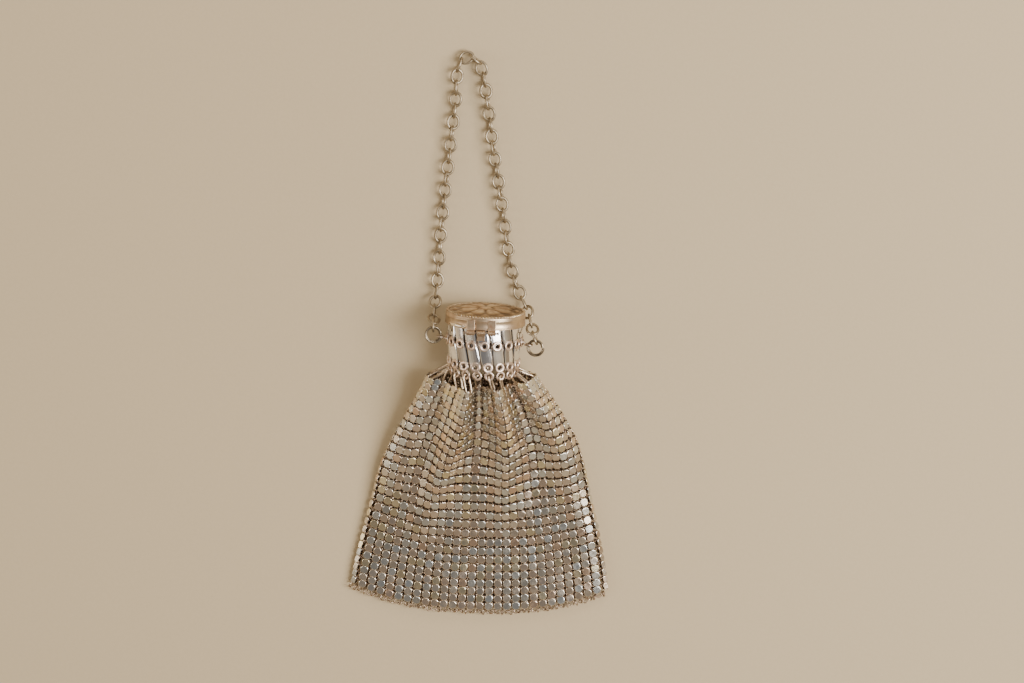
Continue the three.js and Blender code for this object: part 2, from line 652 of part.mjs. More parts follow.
function bagShell() {
  const outerRows = BAG_SECTIONS.map((row) => loop(row.at, 0));
  const floorAt = 1 - SIDE_WALL * BAG_WALL / BAG_LENGTH;
  const innerAts = BAG_SECTIONS.map((row) => Math.min(row.at, floorAt));
  const innerRows = innerAts.map((at) => loop(at, BAG_WALL));
  const count = outerRows[0].length;
  const rows = outerRows.concat([...innerRows].reverse());
  const positions = rows.flat().flatMap((point) => [point.x, point.y, point.z]);
  const indices = [];
  const corner = (row, column) => row * count + (column + count) % count;
  const quad = (a, b, c, d) => indices.push(a, b, c, a, c, d);
  const wall = (row, next) => {
    for (let column = 0; column < count; column += 1) {
      quad(corner(row, column), corner(next, column), corner(next, column + 1), corner(row, column + 1));
    }
  };
  const last = BAG_SECTIONS.length - 1;
  for (let row = 0; row < last; row += 1) {
    wall(row, row + 1);
    wall(last + 1 + row, last + 2 + row);
  }
  wall(rows.length - 1, 0);
  const close = (row, inward) => {
    for (let column = 0; column < BAG_COLUMNS; column += 1) {
      const a = corner(row, column);
      const b = corner(row, column + 1);
      const c = corner(row, -column - 1);
      const d = corner(row, -column);
      const face = inward ? [a, b, c, d] : [d, c, b, a];
      const flat = [...new Set(face)];
      indices.push(flat[0], flat[1], flat[2]);
      if (flat.length > 3) indices.push(flat[0], flat[2], flat[3]);
    }
  };
  close(last, false);
  close(last + 1, true);
  const geometry = new THREE.BufferGeometry();
  geometry.setAttribute('position', new THREE.Float32BufferAttribute(positions, 3));
  geometry.setIndex(indices);
  return geometry;
}

// Hangers: one bar from the mouth of the bag to each eye of the gate
function rimPoint(angle) {
  const front = Math.cos(angle) > 0;
  const turned = front ? angle : Math.PI - angle;
  const share = Math.atan2(Math.sin(turned), Math.cos(turned)) / Math.PI + 0.5;
  const places = columnPlaces(0);
  const column = THREE.MathUtils.clamp(share, RIM_MARGIN, 1 - RIM_MARGIN) * BAG_COLUMNS;
  const low = Math.floor(column);
  const layer = front ? frontPoint : backPoint;
  const depth = HANGER_SINK / BAG_LENGTH;
  const before = layer(depth, places[low], BAG_WALL / 2);
  const after = layer(depth, places[low + 1], BAG_WALL / 2);
  return before.lerp(after, column - low);
}

function hangerSolids() {
  const bars = [];
  for (let strip = 0; strip < STRIPS; strip += 1) {
    const layout = stripLayout(strip, OUTER_LEAN, 0);
    const eye = eyeAlong(layout);
    const centre = new THREE.Vector3(0, eye, 0).applyMatrix4(layout.lower);
    const foot = new THREE.Vector3(0, eye - EYE_RADIUS - HANGER_GAP - HANGER_RADIUS, 0);
    const top = neckToWorld(foot.applyMatrix4(layout.lower));
    bars.push(rod(rimPoint(Math.atan2(centre.x, centre.z)), top, HANGER_RADIUS, 4));
  }
  return bars;
}

// Assembly
const purse = new THREE.Group();
purse.position.y = BAG_LENGTH / 2 - BAG_MOUTH_Y;
const neck = new THREE.Group();
neck.position.set(NECK_X, 0, NECK_Z);
neck.rotation.z = THREE.MathUtils.degToRad(NECK_YAW);
purse.add(neck);

neck.add(named('lid', geometryOf(lidSolid()), LID_METAL));
neck.add(named('lid_hinge_pin', geometryOf(hingePinSolid()), POLISHED));
for (let strip = 0; strip < STRIPS; strip += 1) {
  const number = String(strip + 1).padStart(2, '0');
  const outer = strip === 0 ? hingeStripSolid() : outerStripSolid(strip);
  neck.add(named(`gate_outer_strip_${number}`, geometryOf(outer), POLISHED));
  neck.add(named(`gate_inner_strip_${number}`, geometryOf(innerStripSolid(strip)), INNER_METAL));
}
for (const [name, place] of Object.entries(RING_PLACES)) {
  neck.add(named(`chain_eye_${name}`, geometryOf(sideEyeSolid(place)), DARK_METAL));
  neck.add(named(`chain_ring_${name}`, ringGeometry(place), DARK_METAL));
}
purse.add(named('chain', geometryOf(chainSolid()), CHAIN_METAL));
purse.add(named('mesh_bag', geometryOf(join([solidOf(bagShell()), ...hangerSolids()])), MESH_METAL));

export default purse;
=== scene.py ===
import math

import bmesh
import bpy
from mathutils import Matrix, Quaternion, Vector


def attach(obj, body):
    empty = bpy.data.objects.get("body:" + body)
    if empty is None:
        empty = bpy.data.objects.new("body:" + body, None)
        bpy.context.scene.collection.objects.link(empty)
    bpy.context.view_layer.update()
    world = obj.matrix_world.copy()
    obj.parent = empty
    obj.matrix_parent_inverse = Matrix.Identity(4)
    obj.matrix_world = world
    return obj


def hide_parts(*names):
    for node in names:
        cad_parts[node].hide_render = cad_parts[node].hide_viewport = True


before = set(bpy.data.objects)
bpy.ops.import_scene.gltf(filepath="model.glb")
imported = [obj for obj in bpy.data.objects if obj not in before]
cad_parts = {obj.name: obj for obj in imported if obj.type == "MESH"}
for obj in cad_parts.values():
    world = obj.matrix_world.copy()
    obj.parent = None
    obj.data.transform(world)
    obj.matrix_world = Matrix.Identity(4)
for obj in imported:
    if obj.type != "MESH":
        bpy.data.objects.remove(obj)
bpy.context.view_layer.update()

# View: the purse lies on its back on a pale table, seen from above and a little from the lid's
# end. A wide window stands to the right, a weaker one at the head, and cream walls all round.
camera = bpy.data.objects.new("camera", bpy.data.cameras.new("camera"))
camera.data.lens = 100
camera.data.sensor_width = 36
camera.location = (0.00926, 0.2481, 0.9513)
camera.rotation_euler = (math.radians(-11.5), 0, 0)
bpy.context.scene.collection.objects.link(camera)
bpy.context.scene.camera = camera


def window(name, place, aim, width, height, energy, colour):
    """Makes a soft light panel at place, facing aim."""
    panel = bpy.data.lights.new(name, "AREA")
    panel.shape = "RECTANGLE"
    panel.size, panel.size_y = width, height
    panel.energy = energy
    panel.color = colour
    light = bpy.data.objects.new(name, panel)
    light.location = place
    light.rotation_euler = (Vector(aim) - Vector(place)).to_track_quat("-Z", "Y").to_euler()
    light.visible_camera = False
    bpy.context.scene.collection.objects.link(light)


window("window_right", (0.70, 0.08, 0.90), (0, 0, 0), 0.5, 0.8, 20, (1.0, 0.98, 0.95))
window("window_head", (0.15, 1.1, 0.6), (0, 0.05, 0), 0.9, 0.4, 4.5, (1.0, 0.95, 0.86))
window("window_left", (-1.05, 0.1, 0.5), (0, 0, 0), 0.25, 0.9, 4, (1.0, 0.92, 0.8))


def add_node(tree, kind, inputs=None, **settings):
    """A new node with the given settings and input values."""
    node = tree.nodes.new(kind)
    for key, value in settings.items():
        setattr(node, key, value)
    for entry, value in (inputs or {}).items():
        node.inputs[entry].default_value = value
    return node


def connect(tree, *runs):
    """Joins node sockets, each run given as node, output, node, input."""
    for source, output, target, entry in runs:
        tree.links.new(source.outputs[output], target.inputs[entry])


world = bpy.data.worlds.new("room")
world.use_nodes = True
room = world.node_tree
heading = add_node(room, "ShaderNodeTexCoord")
split = add_node(room, "ShaderNodeSeparateXYZ")
walls = add_node(room, "ShaderNodeValToRGB")
walls.color_ramp.elements[0].position = 0.0
walls.color_ramp.elements[0].color = (0.34, 0.24, 0.15, 1)
walls.color_ramp.elements[1].position = 1.0
walls.color_ramp.elements[1].color = (0.27, 0.275, 0.285, 1)
for position, colour in (
    (0.35, (0.62, 0.48, 0.32, 1)),
    (0.62, (0.78, 0.65, 0.47, 1)),
    (0.80, (0.42, 0.34, 0.26, 1)),
    (0.90, (0.22, 0.20, 0.185, 1)),
    (0.96, (0.26, 0.26, 0.265, 1)),
):
    walls.color_ramp.elements.new(position).color = colour
connect(
    room,
    (heading, "Generated", split, "Vector"),
    (split, "Z", walls, "Fac"),
    (walls, "Color", room.nodes["Background"], "Color"),
)
room.nodes["Background"].inputs["Strength"].default_value = 0.8
bpy.context.scene.world = world

# Table: one level pale surface, like heavy cream paper with a faint tooth. It is only for the
# picture and isn't part of the purse.
TABLE_REACH = 3.0
TABLE_DROP = 0.0002
table_mesh = bpy.data.meshes.new("table")
table_mesh.from_pydata(
    [(x * TABLE_REACH, y * TABLE_REACH, -TABLE_DROP) for x, y in ((-1, -1), (1, -1), (1, 1), (-1, 1))],
    [], [(0, 1, 2, 3)],
)
table = bpy.data.objects.new("table", table_mesh)
bpy.context.scene.collection.objects.link(table)
paper = bpy.data.materials.new("cream_paper")
paper.use_nodes = True
surface = paper.node_tree.nodes["Principled BSDF"]
where = add_node(paper.node_tree, "ShaderNodeTexCoord")
tooth = add_node(paper.node_tree, "ShaderNodeTexNoise", {"Scale": 900, "Detail": 4})
tone = add_node(paper.node_tree, "ShaderNodeValToRGB")
press = add_node(paper.node_tree, "ShaderNodeBump", {"Strength": 0.15, "Distance": 0.0002})
tone.color_ramp.elements[0].color = (0.50, 0.395, 0.245, 1)
tone.color_ramp.elements[1].color = (0.535, 0.425, 0.27, 1)
connect(
    paper.node_tree,
    (where, "Object", tooth, "Vector"),
    (tooth, "Fac", tone, "Fac"),
    (tone, "Color", surface, "Base Color"),
    (tooth, "Fac", press, "Height"),
    (press, "Normal", surface, "Normal"),
)
surface.inputs["Roughness"].default_value = 0.85
table_mesh.materials.append(paper)

# Mesh bag: small pressed metal tiles, each with four legs bent down at its corners, over wire rings
# that hold four corners together. The cloth of tiles is a tube, 55 tiles round, joined at its hem.
MM = 0.001
BAG_LENGTH = 88.2
BAG_HALF_WIDTH = 46.0
BAG_MOUTH_HEIGHT = 22.295
BAG_MOUTH_Y = -3.6
EYE_ROW_Y = BAG_LENGTH / 2 - BAG_MOUTH_Y
HEM_BOW = 9.0
HEM_SLANT = -1.3
MOUTH_BOW = 2.6
BACK_FLAT = 0.72
HEM_POWER = 2.4
PROFILE_POWER = 2.6
# Down the bag: share of its length, reach to the left and right, height, and height of the edge.
BAG_SECTIONS = (
    (0.0, 0.435, 0.385, 0.97, 0.46),
    (0.05, 0.475, 0.435, 0.94, 0.4),
    (0.12, 0.535, 0.525, 0.83, 0.3),
    (0.21, 0.622, 0.62, 0.68, 0.22),
    (0.31, 0.715, 0.71, 0.53, 0.15),
    (0.43, 0.805, 0.768, 0.39, 0.11),
    (0.56, 0.868, 0.82, 0.28, 0.09),
    (0.7, 0.94, 0.882, 0.21, 0.08),
    (0.93, 1.038, 0.953, 0.155, 0.072),
    (1.0, 1.013, 0.926, 0.145, 0.07),
)
# Folds: place across at the mouth and at the end, length, height and width.
BAG_FOLDS = (
    (-0.72, -0.56, 0.58, -0.15, 0.12),
    (-0.24, -0.56, 0.72, 0.19, 0.12),
    (-0.05, -0.1, 0.46, -0.16, 0.11),
    (0.3, 0.17, 0.64, 0.17, 0.1),
    (0.56, 0.5, 0.58, -0.16, 0.12),
    (0.8, 0.92, 0.95, 0.1, 0.12),
)
FOLD_GAIN = 1.5
FOLD_FADE = 0.9
FOLD_EDGE_POWER = 6
FOLD_DRAW = 0.42
FOLD_DRAW_FROM = 0.25
EDGE_INSET = 0.7
FRONT_COLUMNS = 29
BACK_COLUMNS = 26
TILE_ROWS = 28
SPREAD_STEPS = 200
# Row number, then how deep that row is as a share of the bag's length.
ROW_STEPS = (
    (0, 0.0225), (3, 0.029), (7, 0.0345), (12, 0.0372),
    (18, 0.0382), (20, 0.036), (22, 0.0325), (27, 0.0305),
)
FIRST_ROW = 0.014
BACK_PLEAT = 1.6
PLEAT_TILES = 3
PLEAT_CREST = 1.5
PLEAT_REACH = 0.45
BACK_LIFT = 0.08
TILE_HALF = 1.33
TILE_ROOM = 2.7
TILE_THICK = 0.3
TILE_TILT = math.radians(3.6)
# Share of the half width, height and painted shade of a tile's levels; place out, half width and height
# of its legs' levels, then the painted shade of a leg's nine points.
TILE_LEVELS = ((0.86, 0.0, 0.0), (0.96, -0.03, 0.3), (1.0, -0.11, 0.8), (0.96, -TILE_THICK, 1.0))
LEG_LEVELS = ((0.99, 0.36, -0.06), (1.11, 0.34, -0.2), (1.13, 0.28, -0.5), (0.98, 0.24, -0.72))
LEG_BACK = (0.9, -0.34)
LEG_PAINTED_SHADE = (0.6, 0.6, 0.6, 0.6, 0.95, 0.95, 1.0, 1.0, 1.0)
RING_RADIUS = 0.66
RING_WIRE = 0.13
RING_SINK = 0.5
HEM_RING_RADIUS = 1.0
HEM_RING_WIRE = 0.2


def curve(a, b, leave, arrive, share):
    """The value or point at a share of the way from a to b, given its slopes at both."""
    return (
        a * (2 * share**3 - 3 * share**2 + 1)
        + leave * (share**3 - 2 * share**2 + share)
        + b * (3 * share**2 - 2 * share**3)
        + arrive * (share**3 - share**2)
    )


def section(at):
    """Middle, half width, height and edge height of the bag at a share of its length."""
    rows = BAG_SECTIONS
    low = max(index for index in range(len(rows) - 1) if rows[index][0] <= at + 1e-9)
    a, b = rows[low], rows[low + 1]
    before, after = rows[max(0, low - 1)], rows[min(len(rows) - 1, low + 2)]
    span = b[0] - a[0]
    left, right, height, edge = (
        curve(
            a[column], b[column],
            (b[column] - before[column]) / (b[0] - before[0]) * span,
            (after[column] - a[column]) / (after[0] - a[0]) * span,
            (at - a[0]) / span,
        )
        for column in range(1, 5)
    )
    left, right = left * BAG_HALF_WIDTH, right * BAG_HALF_WIDTH
    return (right - left) / 2, (right + left) / 2, height * BAG_MOUTH_HEIGHT, edge * BAG_MOUTH_HEIGHT


def fold_rise(across, at):
    """How far the folds lift the front above its dome."""
    rise = 0.0
    for start, end, length, height, width in BAG_FOLDS:
        run = at / length
        if run < 1:
            off = (across - (start + (end - start) * run)) / width
            rise += height * (1 - run) ** FOLD_FADE * math.exp(-off * off)
    return rise * FOLD_GAIN * BAG_MOUTH_HEIGHT * (1 - abs(across) ** FOLD_EDGE_POWER)


def along(at, across):
    """Place along the purse, from the bowed mouth to the bowed and slanted hem."""
    mouth = BAG_MOUTH_Y + MOUTH_BOW * across * across
    hem = BAG_MOUTH_Y - BAG_LENGTH + HEM_BOW * abs(across) ** HEM_POWER + HEM_SLANT * across
    return mouth + (hem - mouth) * at + EYE_ROW_Y


def front_point(at, across):
    """A point of the front, whose rows are drawn towards the hem where a fold lifts them."""
    middle, half, height, edge = section(at)
    dome = max(0.0, 1 - abs(across) ** PROFILE_POWER) ** (1 / PROFILE_POWER)
    rise = fold_rise(across, at)
    x = middle + (half - EDGE_INSET) * across
    draw = FOLD_DRAW * min(1.0, at / FOLD_DRAW_FROM)
    return Vector((x, along(at, across) - draw * rise, edge + (height - edge) * dome + rise))


def back_point(at, across):
    middle, half, height, edge = section(at)
    past = max(0.0, (abs(across) - BACK_FLAT) / (1 - BACK_FLAT))
    return Vector((middle + (half - EDGE_INSET) * across, along(at, across), edge * past * past))


def paced(lengths, wanted):
    """Where running lengths reach the wanted one: the step before, and the share of a step."""
    over = 1
    while lengths[over] < wanted:
        over += 1
    return over - 1, (wanted - lengths[over - 1]) / (lengths[over] - lengths[over - 1])


def spread(at, layer, count):
    """Places of count columns across one layer, level with each other along its surface."""
    trail = [layer(at, -1 + 2 * step / SPREAD_STEPS) for step in range(SPREAD_STEPS + 1)]
    lengths = [0.0]
    for a, b in zip(trail, trail[1:]):
        lengths.append(lengths[-1] + math.hypot(b.x - a.x, b.z - a.z))
    steps = (paced(lengths, lengths[-1] * (column + 0.5) / count) for column in range(count))
    return [-1 + 2 * (step + share) / SPREAD_STEPS for step, share in steps]


def row_step(row):
    """Depth of a row of tiles, as a share of the bag's length."""
    for (low, step_low), (high, step_high) in zip(ROW_STEPS, ROW_STEPS[1:]):
        if low <= row <= high:
            return step_low + (step_high - step_low) * (row - low) / (high - low)


row_places = []
edge_place = FIRST_ROW
for row in range(TILE_ROWS):
    row_places.append(edge_place + row_step(row) / 2)
    edge_place += row_step(row)
ROUND = FRONT_COLUMNS + BACK_COLUMNS
cloth = []
for at in row_places:
    front = [front_point(at, across) for across in spread(at, front_point, FRONT_COLUMNS)]
    back = [back_point(at, across) for across in spread(at, back_point, BACK_COLUMNS)]
    cloth.append(front + back[::-1])


def cloth_frame(row, column):
    """Across, down and outward directions of the cloth at one tile."""
    before, after = cloth[row][(column - 1) % ROUND], cloth[row][(column + 1) % ROUND]
    above, below = cloth[max(0, row - 1)][column], cloth[min(TILE_ROWS - 1, row + 1)][column]
    across = (after - before).normalized()
    up = (above - below).normalized()
    out = across.cross(up).normalized()
    return across, out.cross(across), out


# The back lies on the table, and gathers into low pleats three tiles wide towards the mouth.
for row, at in enumerate(row_places):
    for column in range(FRONT_COLUMNS, ROUND):
        wave = (1 - math.cos(math.tau * (column - FRONT_COLUMNS) / PLEAT_TILES)) / PLEAT_CREST
        cloth[row][column].z += BACK_PLEAT * wave * max(0.0, 1 - at / PLEAT_REACH) + BACK_LIFT


def mesh_object(name, points, faces, smooth=True):
    """A linked object from points in millimetres."""
    mesh = bpy.data.meshes.new(name)
    mesh.from_pydata([Vector(point) * MM for point in points], [], faces)
    mesh.polygons.foreach_set("use_smooth", [smooth] * len(faces))
    made = bpy.data.objects.new(name, mesh)
    bpy.context.scene.collection.objects.link(made)
    return made


def circle(count):
    """Angles at equal steps round a full turn."""
    return [math.tau * step / count for step in range(count)]


def row_faces(rows, sides, closed=False, first=0):
    """Faces between rows of points, each row a ring; closed joins the last row to the first."""
    faces = []
    for row in range(rows if closed else rows - 1):
        low, high = first + row * sides, first + (row + 1) % rows * sides
        for side in range(sides):
            after = (side + 1) % sides
            faces.append((low + side, high + side, high + after, low + after))
    return faces


def turned_over(faces):
    """The same faces, each from the same first point, seen from the other side."""
    return [(face[0], *reversed(face[1:])) for face in faces]


def wire_ring(name, radius, wire, turns, sides, stretch=0.0):
    """A ring of round wire in the XY plane, drawn out along X by stretch on each side."""
    points = []
    for turn in range(turns):
        angle = math.tau * (turn + 0.5) / turns
        ahead = math.copysign(stretch, math.cos(angle))
        for tilt in circle(sides):
            out = radius + wire * math.cos(tilt)
            points.append((out * math.cos(angle) + ahead, out * math.sin(angle), wire * math.sin(tilt)))
    return mesh_object(name, points, row_faces(turns, sides, closed=True))


def add_sockets(tree, way, kinds):
    """Gives a node group its named sockets, each of its kind."""
    for label, kind in kinds.items():
        tree.interface.new_socket(label, in_out=way, socket_type="NodeSocket" + kind)


def laying_tree():
    """Geometry nodes that lay copies of one small part on places that hold their turn and size."""
    tree = bpy.data.node_groups.new("lay_copies", "GeometryNodeTree")
    add_sockets(tree, "INPUT", {
        "Places": "Geometry", "Part": "Object", "Tilt": "Float", "Seed": "Int", "Finish": "Material",
    })
    add_sockets(tree, "OUTPUT", {"Copies": "Geometry"})
    given = add_node(tree, "NodeGroupInput")
    part = add_node(tree, "GeometryNodeObjectInfo")
    named = "GeometryNodeInputNamedAttribute"
    turn = add_node(tree, named, {"Name": "turn"}, data_type="QUATERNION")
    size = add_node(tree, named, {"Name": "size"}, data_type="FLOAT_VECTOR")
    limits = {0: (-1, -1, -0.6), 1: (1, 1, 0.6)}
    chance = add_node(tree, "FunctionNodeRandomValue", limits, data_type="FLOAT_VECTOR")
    scaled = add_node(tree, "ShaderNodeVectorMath", operation="SCALE")
    euler = add_node(tree, "FunctionNodeEulerToRotation")
    tilted = add_node(tree, "FunctionNodeRotateRotation", rotation_space="LOCAL")
    lay = add_node(tree, "GeometryNodeInstanceOnPoints")
    tint = add_node(tree, "FunctionNodeRandomValue", data_type="FLOAT")
    keep = add_node(tree, "GeometryNodeStoreNamedAttribute", data_type="FLOAT", domain="INSTANCE")
    keep.inputs["Name"].default_value = "tint"
    real = add_node(tree, "GeometryNodeRealizeInstances")
    coat = add_node(tree, "GeometryNodeSetMaterial")
    made = add_node(tree, "NodeGroupOutput")
    connect(
        tree,
        (given, "Part", part, "Object"),
        (given, "Seed", chance, "Seed"),
        (chance, 0, scaled, 0),
        (given, "Tilt", scaled, "Scale"),
        (scaled, "Vector", euler, "Euler"),
        (turn, "Attribute", tilted, "Rotation"),
        (euler, "Rotation", tilted, "Rotate By"),
        (given, "Places", lay, "Points"),
        (part, "Geometry", lay, "Instance"),
        (tilted, "Rotation", lay, "Rotation"),
        (size, "Attribute", lay, "Scale"),
        (given, "Seed", tint, "Seed"),
        (lay, "Instances", keep, "Geometry"),
        (tint, 1, keep, "Value"),
        (keep, "Geometry", real, "Geometry"),
        (real, "Geometry", coat, "Geometry"),
        (given, "Finish", coat, "Material"),
        (coat, "Geometry", made, "Copies"),
    )
    return tree


LAYING = laying_tree()


def lay_copies(name, places, part, finish, tilt=0.0, seed=1):
    """Lays a part at each place, given as (position in mm, rotation, size), as one plain mesh."""
    mesh = bpy.data.meshes.new(name + "_places")
    mesh.from_pydata([Vector(place[0]) * MM for place in places], [], [])
    turn = mesh.attributes.new("turn", "QUATERNION", "POINT")
    turn.data.foreach_set("value", [value for place in places for value in place[1]])
    size = mesh.attributes.new("size", "FLOAT_VECTOR", "POINT")
    size.data.foreach_set("vector", [value for place in places for value in place[2]])
    laid = bpy.data.objects.new(name, mesh)
    bpy.context.scene.collection.objects.link(laid)
    modifier = laid.modifiers.new("lay", "NODES")
    modifier.node_group = LAYING
    inputs = {"Part": part, "Tilt": tilt, "Seed": seed, "Finish": finish}
    for socket in LAYING.interface.items_tree:
        if socket.name in inputs:
            modifier[socket.identifier] = inputs[socket.name]
    ready = laid.evaluated_get(bpy.context.evaluated_depsgraph_get())
    result = bpy.data.meshes.new_from_object(ready)
    laid.modifiers.clear()
    laid.data = result
    result.name = name
    bpy.data.objects.remove(part)
    return laid


def facing(across, up, out):
    """The rotation whose X, Y and Z axes are the three directions."""
    return Matrix((across, up, out)).transposed().to_quaternion()


def tile_part():
    """One tile, face up at Z = 0: an octagon with a leg bent down at each of its four corners."""
    outline = []
    for quarter in range(4):
        spin = Matrix.Rotation(quarter * math.pi / 2, 2)
        for corner in ((1.0, -0.5), (1.0, 0.5)):
            outline.append(spin @ Vector(corner) * TILE_HALF)
    count = len(outline)
    points, painted_shade = [], []
    for share, height, shade_amount in TILE_LEVELS:
        points += [(point.x * share, point.y * share, height) for point in outline]
        painted_shade += [shade_amount] * count
    faces = [tuple(range(count)), *row_faces(len(TILE_LEVELS), count)]
    faces.append(tuple(reversed(range(len(points) - count, len(points)))))
    for quarter in range(4):
        spin = Matrix.Rotation((quarter + 0.5) * math.pi / 2, 3, "Z")
        first = len(points)
        for out, half, height in LEG_LEVELS:
            for side in (-half, half):
                points.append(tuple(spin @ Vector((out * TILE_HALF, side, height))))
        points.append(tuple(spin @ Vector((LEG_BACK[0] * TILE_HALF, 0.0, LEG_BACK[1]))))
        for low in (0, 2, 4):
            faces.append((first + low, first + low + 2, first + low + 3, first + low + 1))
        for side in ((0, 8, 6, 4, 2), (1, 3, 5, 7, 8), (6, 8, 7), (0, 1, 8)):
            faces.append(tuple(first + corner for corner in side))
        painted_shade += LEG_PAINTED_SHADE
    tile = mesh_object("tile", points, faces)
    tile.data.polygons[0].use_smooth = False
    # The rim attribute carries painted shade: none on the top face, most on the sides, underside and legs.
    tile.data.attributes.new("rim", "FLOAT", "POINT").data.foreach_set("value", painted_shade)
    return tile


def wear_group():
    """Shader group for worn plate: dull patches, fine scratches and small dents."""
    group = bpy.data.node_groups.new("plate_wear", "ShaderNodeTree")
    floats = ("Patch Scale", "Scratch Scale", "Smooth", "Rough")
    add_sockets(group, "INPUT", {label: "Float" for label in floats})
    add_sockets(group, "OUTPUT", {"Patches": "Float", "Roughness": "Float", "Height": "Float"})
    given = add_node(group, "NodeGroupInput")
    where = add_node(group, "ShaderNodeTexCoord")
    patches = add_node(group, "ShaderNodeTexNoise", {"Detail": 5, "Roughness": 0.65})
    contrast = add_node(group, "ShaderNodeValToRGB")
    contrast.color_ramp.elements[0].position = 0.38
    contrast.color_ramp.elements[1].position = 0.66
    streak = add_node(group, "ShaderNodeMapping", {"Scale": (1.0, 0.14, 1.0), "Rotation": (0.3, 0.2, 0.5)})
    scratches = add_node(group, "ShaderNodeTexNoise", {"Detail": 3})
    mixed = add_node(group, "ShaderNodeMath", {1: 0.45}, operation="MULTIPLY_ADD")
    level = add_node(group, "ShaderNodeMapRange", {"From Max": 1.2})
    made = add_node(group, "NodeGroupOutput")
    connect(
        group,
        (where, "Object", patches, "Vector"),
        (given, "Patch Scale", patches, "Scale"),
        (patches, "Fac", contrast, "Fac"),
        (where, "Object", streak, "Vector"),
        (streak, "Vector", scratches, "Vector"),
        (given, "Scratch Scale", scratches, "Scale"),
        (scratches, "Fac", mixed, 0),
        (contrast, "Color", mixed, 2),
        (mixed, "Value", level, "Value"),
        (given, "Smooth", level, "To Min"),
        (given, "Rough", level, "To Max"),
        (contrast, "Color", made, "Patches"),
        (level, "Result", made, "Roughness"),
        (scratches, "Fac", made, "Height"),
    )
    return group


PLATE_WEAR = wear_group()


def worn_metal(name, bright, dull, patch, scratch, smooth, rough, dent):
    """A metal, bright to dull in patches, with two noise scales, two roughnesses and a dent in mm."""
    metal = bpy.data.materials.new(name)
    metal.use_nodes = True
    tree = metal.node_tree
    surface = tree.nodes["Principled BSDF"]
    surface.inputs["Metallic"].default_value = 1
    amounts = {"Patch Scale": patch, "Scratch Scale": scratch, "Smooth": smooth, "Rough": rough}
    wear = add_node(tree, "ShaderNodeGroup", amounts, node_tree=PLATE_WEAR)
    colour = add_node(tree, "ShaderNodeMix", {6: (*bright, 1), 7: (*dull, 1)}, data_type="RGBA")
    bump = add_node(tree, "ShaderNodeBump", {"Strength": 0.5, "Distance": dent * MM})
    connect(
        tree,
        (wear, "Patches", colour, 0),
        (colour, 2, surface, "Base Color"),
        (wear, "Roughness", surface, "Roughness"),
        (wear, "Height", bump, "Height"),
        (bump, "Normal", surface, "Normal"),
    )
    return metal


def blended(metal, kind, entry):
    """A mix set before a metal's surface, which takes the colour it had in the given input."""
    tree = metal.node_tree
    base = tree.nodes["Principled BSDF"].inputs["Base Color"]
    mix = add_node(tree, "ShaderNodeMix", data_type="RGBA", blend_type=kind)
    tree.links.new(base.links[0].from_socket, mix.inputs[entry])
    tree.links.new(mix.outputs[2], base)
    return mix


def tinted(metal, stops, share):
    """Gives each laid copy its own tint from a row of colours, by its tint attribute."""
    tint = add_node(metal.node_tree, "ShaderNodeAttribute", attribute_name="tint")
    ramp = add_node(metal.node_tree, "ShaderNodeValToRGB")
    ramp.color_ramp.interpolation = "CONSTANT"
    ramp.color_ramp.elements[0].color = (*stops[0][1], 1)
    ramp.color_ramp.elements[1].position = stops[1][0]
    ramp.color_ramp.elements[1].color = (*stops[1][1], 1)
    for position, colour in stops[2:]:
        ramp.color_ramp.elements.new(position).color = (*colour, 1)
    mix = blended(metal, "MULTIPLY", 6)
    mix.inputs[0].default_value = share
    connect(metal.node_tree, (tint, "Fac", ramp, "Fac"), (ramp, "Color", mix, 7))


def painted_rim_shade(metal, colour, start):
    """Paints shade on each tile's edge, sides, underside and legs, where the rim attribute nears one."""
    rim = add_node(metal.node_tree, "ShaderNodeAttribute", attribute_name="rim")
    level = add_node(metal.node_tree, "ShaderNodeMapRange", {"From Min": start})
    mix = blended(metal, "MIX", 6)
    mix.inputs[7].default_value = (*colour, 1)
    connect(metal.node_tree, (rim, "Fac", level, "Value"), (level, "Result", mix, 0))


# Tints given at random to the tiles: partly tarnish and plating, partly painted reflections of the room's
# blue-grey and cream.
TILE_TINTS_AND_REFLECTIONS = (
    (0.0, (0.86, 0.90, 0.91)),
    (0.18, (0.97, 0.90, 0.80)),
    (0.34, (0.90, 0.78, 0.66)),
    (0.50, (0.93, 0.80, 0.69)),
    (0.60, (0.84, 0.78, 0.70)),
    (0.74, (0.92, 0.84, 0.62)),
    (0.84, (0.78, 0.80, 0.78)),
    (0.93, (0.92, 0.72, 0.57)),
    (0.975, (1.0, 0.92, 0.66)),
)
tile_metal = worn_metal("tile_silver", (0.93, 0.90, 0.85), (0.74, 0.68, 0.60), 420, 2600, 0.14, 0.32, 0.02)
tinted(tile_metal, TILE_TINTS_AND_REFLECTIONS, 0.95)
# Painted shade: each tile's edge, sides, underside and legs are darkened towards brown.
painted_rim_shade(tile_metal, (0.34, 0.26, 0.19), 0.45)

front_places, back_places = [], []
for row in range(TILE_ROWS):
    for column in range(ROUND):
        across, up, out = cloth_frame(row, column)
        beside = (cloth[row][(column + 1) % ROUND] - cloth[row][(column - 1) % ROUND]).length / 2
        below = (cloth[min(TILE_ROWS - 1, row + 1)][column] - cloth[max(0, row - 1)][column]).length / 2
        below = below if 0 < row < TILE_ROWS - 1 else below * 2
        fit = (min(1.0, beside / TILE_ROOM), min(1.0, below / TILE_ROOM), 1)
        place = (cloth[row][column], facing(across, up, out), fit)
        (front_places if column < FRONT_COLUMNS else back_places).append(place)
tiles_front = lay_copies("mesh_tiles_front", front_places, tile_part(), tile_metal, TILE_TILT, 3)
tiles_back = lay_copies("mesh_tiles_back", back_places, tile_part(), tile_metal, TILE_TILT * 0.3, 5)
